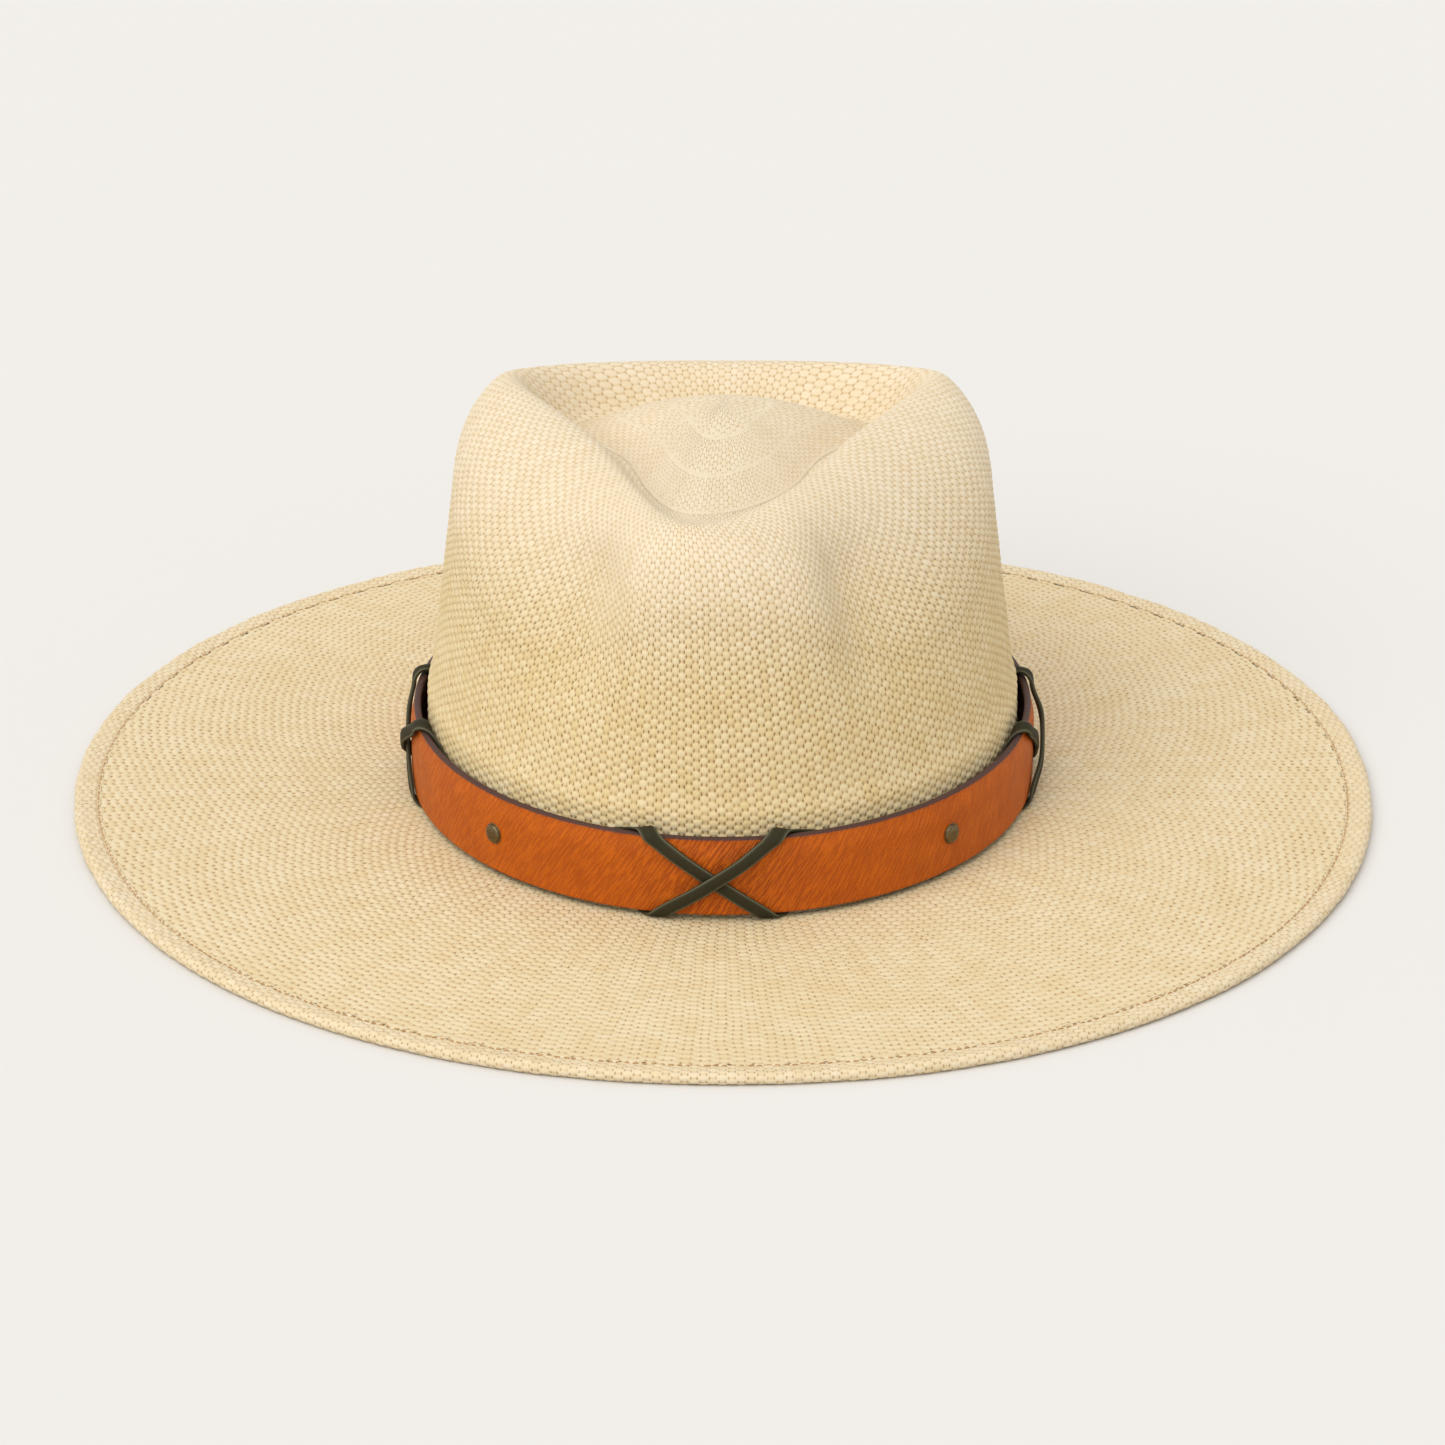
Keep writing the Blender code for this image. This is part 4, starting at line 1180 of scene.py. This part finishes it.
def build_sweatband():
    look = leather_look("sweatband_brown_leather", (0.30, 0.155, 0.075), (0.20, 0.095, 0.045),
                        (0.12, 0.055, 0.028), 0.55, creased=False)
    angles = seamed(721)
    profile = Profile(angles)
    heights = np.linspace(SWEATBAND_FOOT, SWEATBAND_TOP, 31)
    half = SWEATBAND / 2
    outer = [(sweatband_inset(h), h) for h in heights[:-1]]
    middle = (sweatband_inset(SWEATBAND_TOP) + half, SWEATBAND_TOP - half)
    turns = np.linspace(0, np.pi, 7)[1:-1]
    rim = [(middle[0] - half * math.cos(t), middle[1] + half * math.sin(t)) for t in turns]
    inner = [(sweatband_inset(h) + SWEATBAND, h) for h in heights[-2::-1]]
    section = outer + rim + inner + outer[:1]
    x = angles[None, :] * 1.7
    z = np.array([h for _, h in section])[:, None]
    ripple = 0.10 * lattice_noise(x / 14 + 64, z / 16, 51, 512)
    points = np.array([profile.oval(-inset, h) for inset, h in section])
    points = points - profile.outwards[None] * np.abs(ripple)[..., None] * 0.5
    edge = smooth_step((z - (SWEATBAND_TOP - 1.0)) / 0.6) + 0 * x
    band = grid_object("sweatband_leather", points, x + 0 * z, z + 0 * x, look, {"edge": edge})
    close_ends(band)
    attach(band, "hat")
    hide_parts("sweatband")


def build_inner_stitches():
    look = thread_look("sweatband_thread", (0.60, 0.44, 0.26), (0.40, 0.27, 0.14))
    profile = Profile(wrapped(1440))
    proud = 0.25
    inset = sweatband_inset(INNER_SEAM_HEIGHT) + SWEATBAND + proud
    path = profile.oval(-inset, INNER_SEAM_HEIGHT)
    made = stitches("sweatband_stitches", path, look, stitch=2.6, gap=0.6, radius=0.28, dip=0.0)
    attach(made, "hat")
    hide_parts("sweatband_stitching")


def against_the_back(x, out, up, height):
    """Points against the inner side of the sweatband's back, which leans as the band does."""
    lean = math.atan2(SWEATBAND_TOP_INSET - SWEATBAND_FOOT_INSET, SWEATBAND_TOP - SWEATBAND_FOOT)
    inset = sweatband_inset(height) + SWEATBAND + BACK_SAG + GAP
    y = CROWN_HALF_LENGTH - inset - out * math.cos(lean) - up * math.sin(lean)
    return point(x, y, height - out * math.sin(lean) + up * math.cos(lean))


def flat_loft(name, x, half_heights, half_thickness, relief, height, look):
    """A thin cloth piece with rounded edges: its section swept from end to end along x."""
    turns = np.linspace(0, 2 * np.pi, 49)
    up = squared_off(np.cos(turns), 0.6)
    out = squared_off(np.sin(turns), 0.4)
    across = up[:, None] * half_heights[None, :]
    along = np.broadcast_to(x, across.shape)
    proud = half_thickness * (1 + out[:, None]) + relief(along, across)
    points = against_the_back(along, proud, across, height)
    piece = grid_object(name, points, along, across, look)
    close_ends(piece)
    return piece


def build_bow():
    look = cloth_look("bow_ribbon", (0.105, 0.058, 0.032), (0.045, 0.024, 0.014), 420.0)

    def folds(x, z):
        spread = z / (1.6 + 0.25 * np.abs(x))
        return 0.16 * (1 + np.cos(6.5 * spread)) * np.exp(-((np.abs(x) - 2.4) ** 2) / 9)

    def wraps(x, z):
        return 0.14 * (1 + np.cos(5.0 * x)) + 0 * z

    reach = np.linspace(-9.2, 9.2, 93)
    widening = 1.6 + 2.0 * smooth_step(np.abs(reach) / 6.5)
    rounding = np.sqrt(np.clip(1 - (np.abs(reach) / 9.25) ** 8, 0.001, 1))
    loops = flat_loft("bow_loops", reach, widening * rounding, 0.26, folds, BOW_HEIGHT, look)
    middle = np.linspace(-1.3, 1.3, 21)
    barrel = 2.1 * np.sqrt(np.clip(1 - (np.abs(middle) / 1.32) ** 6, 0.001, 1))
    knot = flat_loft("bow_knot", middle, barrel, 0.62, wraps, BOW_HEIGHT, look)
    for piece in (loops, knot):
        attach(piece, "hat")
        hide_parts("sweatband_bow")


def build_label():
    look = cloth_look("label_woven", (0.80, 0.77, 0.70), (0.60, 0.57, 0.50), 520.0)

    def hemmed(x, z):
        hem = smooth_step((np.abs(x) - 7.7) / 0.3) + smooth_step((np.abs(z) - 4.1) / 0.3)
        return 0.12 * np.clip(hem, 0, 1) + 0.16 * (1 + np.sin(x * 0.42 + 0.05 * z))

    reach = np.linspace(-9.0, 9.0, 121)
    rounding = np.sqrt(np.clip(1 - (np.abs(reach) / 9.02) ** 40, 0.001, 1))
    label = flat_loft("blank_size_label", reach, 5.0 * rounding, 0.15, hemmed, LABEL_HEIGHT, look)
    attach(label, "hat")
    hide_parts("size_label")


def dress_small_nodes():
    """Procedural materials for the hard CAD pieces whose shape is already right."""
    looks = {
        "brim_wire": metal_look("hem_spring_wire", (0.45, 0.45, 0.44), (0.60, 0.60, 0.58), 0.32),
        "sweatband_reed": cloth_look("reed_plastic", (0.62, 0.56, 0.45), (0.54, 0.48, 0.37), 160.0),
    }
    for node, look in looks.items():
        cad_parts[node].data.materials.clear()
        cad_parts[node].data.materials.append(look)


# ---- the studio


def build_floor():
    mesh = bpy.data.meshes.new("studio_floor")
    half = FLOOR_HALF
    corners = [(-half, -half, 0), (half, -half, 0), (half, half, 0), (-half, half, 0)]
    mesh.from_pydata(corners, [], [(0, 1, 2, 3)])
    mesh.materials.append(floor_look())
    floor = linked("studio_floor", mesh)


def build_light():
    world = bpy.data.worlds.new("studio")
    world.use_nodes = True
    sky = world.node_tree.nodes["Background"]
    sky.inputs["Color"].default_value = (1.0, 1.0, 1.0, 1.0)
    sky.inputs["Strength"].default_value = SKY_STRENGTH
    bpy.context.scene.world = world
    light = bpy.data.lights.new("key", "SUN")
    light.energy = SUN_ENERGY
    light.angle = math.radians(SUN_SPREAD)
    light.color = (1.0, 0.985, 0.96)
    turn, rise = math.radians(SUN_TURN), math.radians(SUN_RISE)
    level = math.cos(rise)
    towards = Vector((math.sin(turn) * level, -math.cos(turn) * level, math.sin(rise)))
    linked("key", light).rotation_euler = towards.to_track_quat("Z", "Y").to_euler()


def build_camera():
    camera = bpy.data.cameras.new("camera")
    camera.sensor_width = 36.0
    camera.lens = CAMERA_LENS
    camera.clip_end = 60.0
    body = linked("camera", camera)
    rise = math.radians(CAMERA_RISE)
    target = Vector((0.0, CENTRE_SHIFT[1] * MM, CAMERA_TARGET_HEIGHT))
    back = Vector((0.0, -math.cos(rise), math.sin(rise)))
    body.location = target + back * CAMERA_DISTANCE
    body.rotation_euler = back.to_track_quat("Z", "Y").to_euler()
    bpy.context.scene.camera = body


bpy.context.scene.view_settings.view_transform = "Standard"
build_camera()
build_light()
build_floor()
build_straw()
build_hem_stitches()
build_strap()
build_laces()
build_rivets()
build_sweatband()
build_inner_stitches()
build_bow()
build_label()
dress_small_nodes()
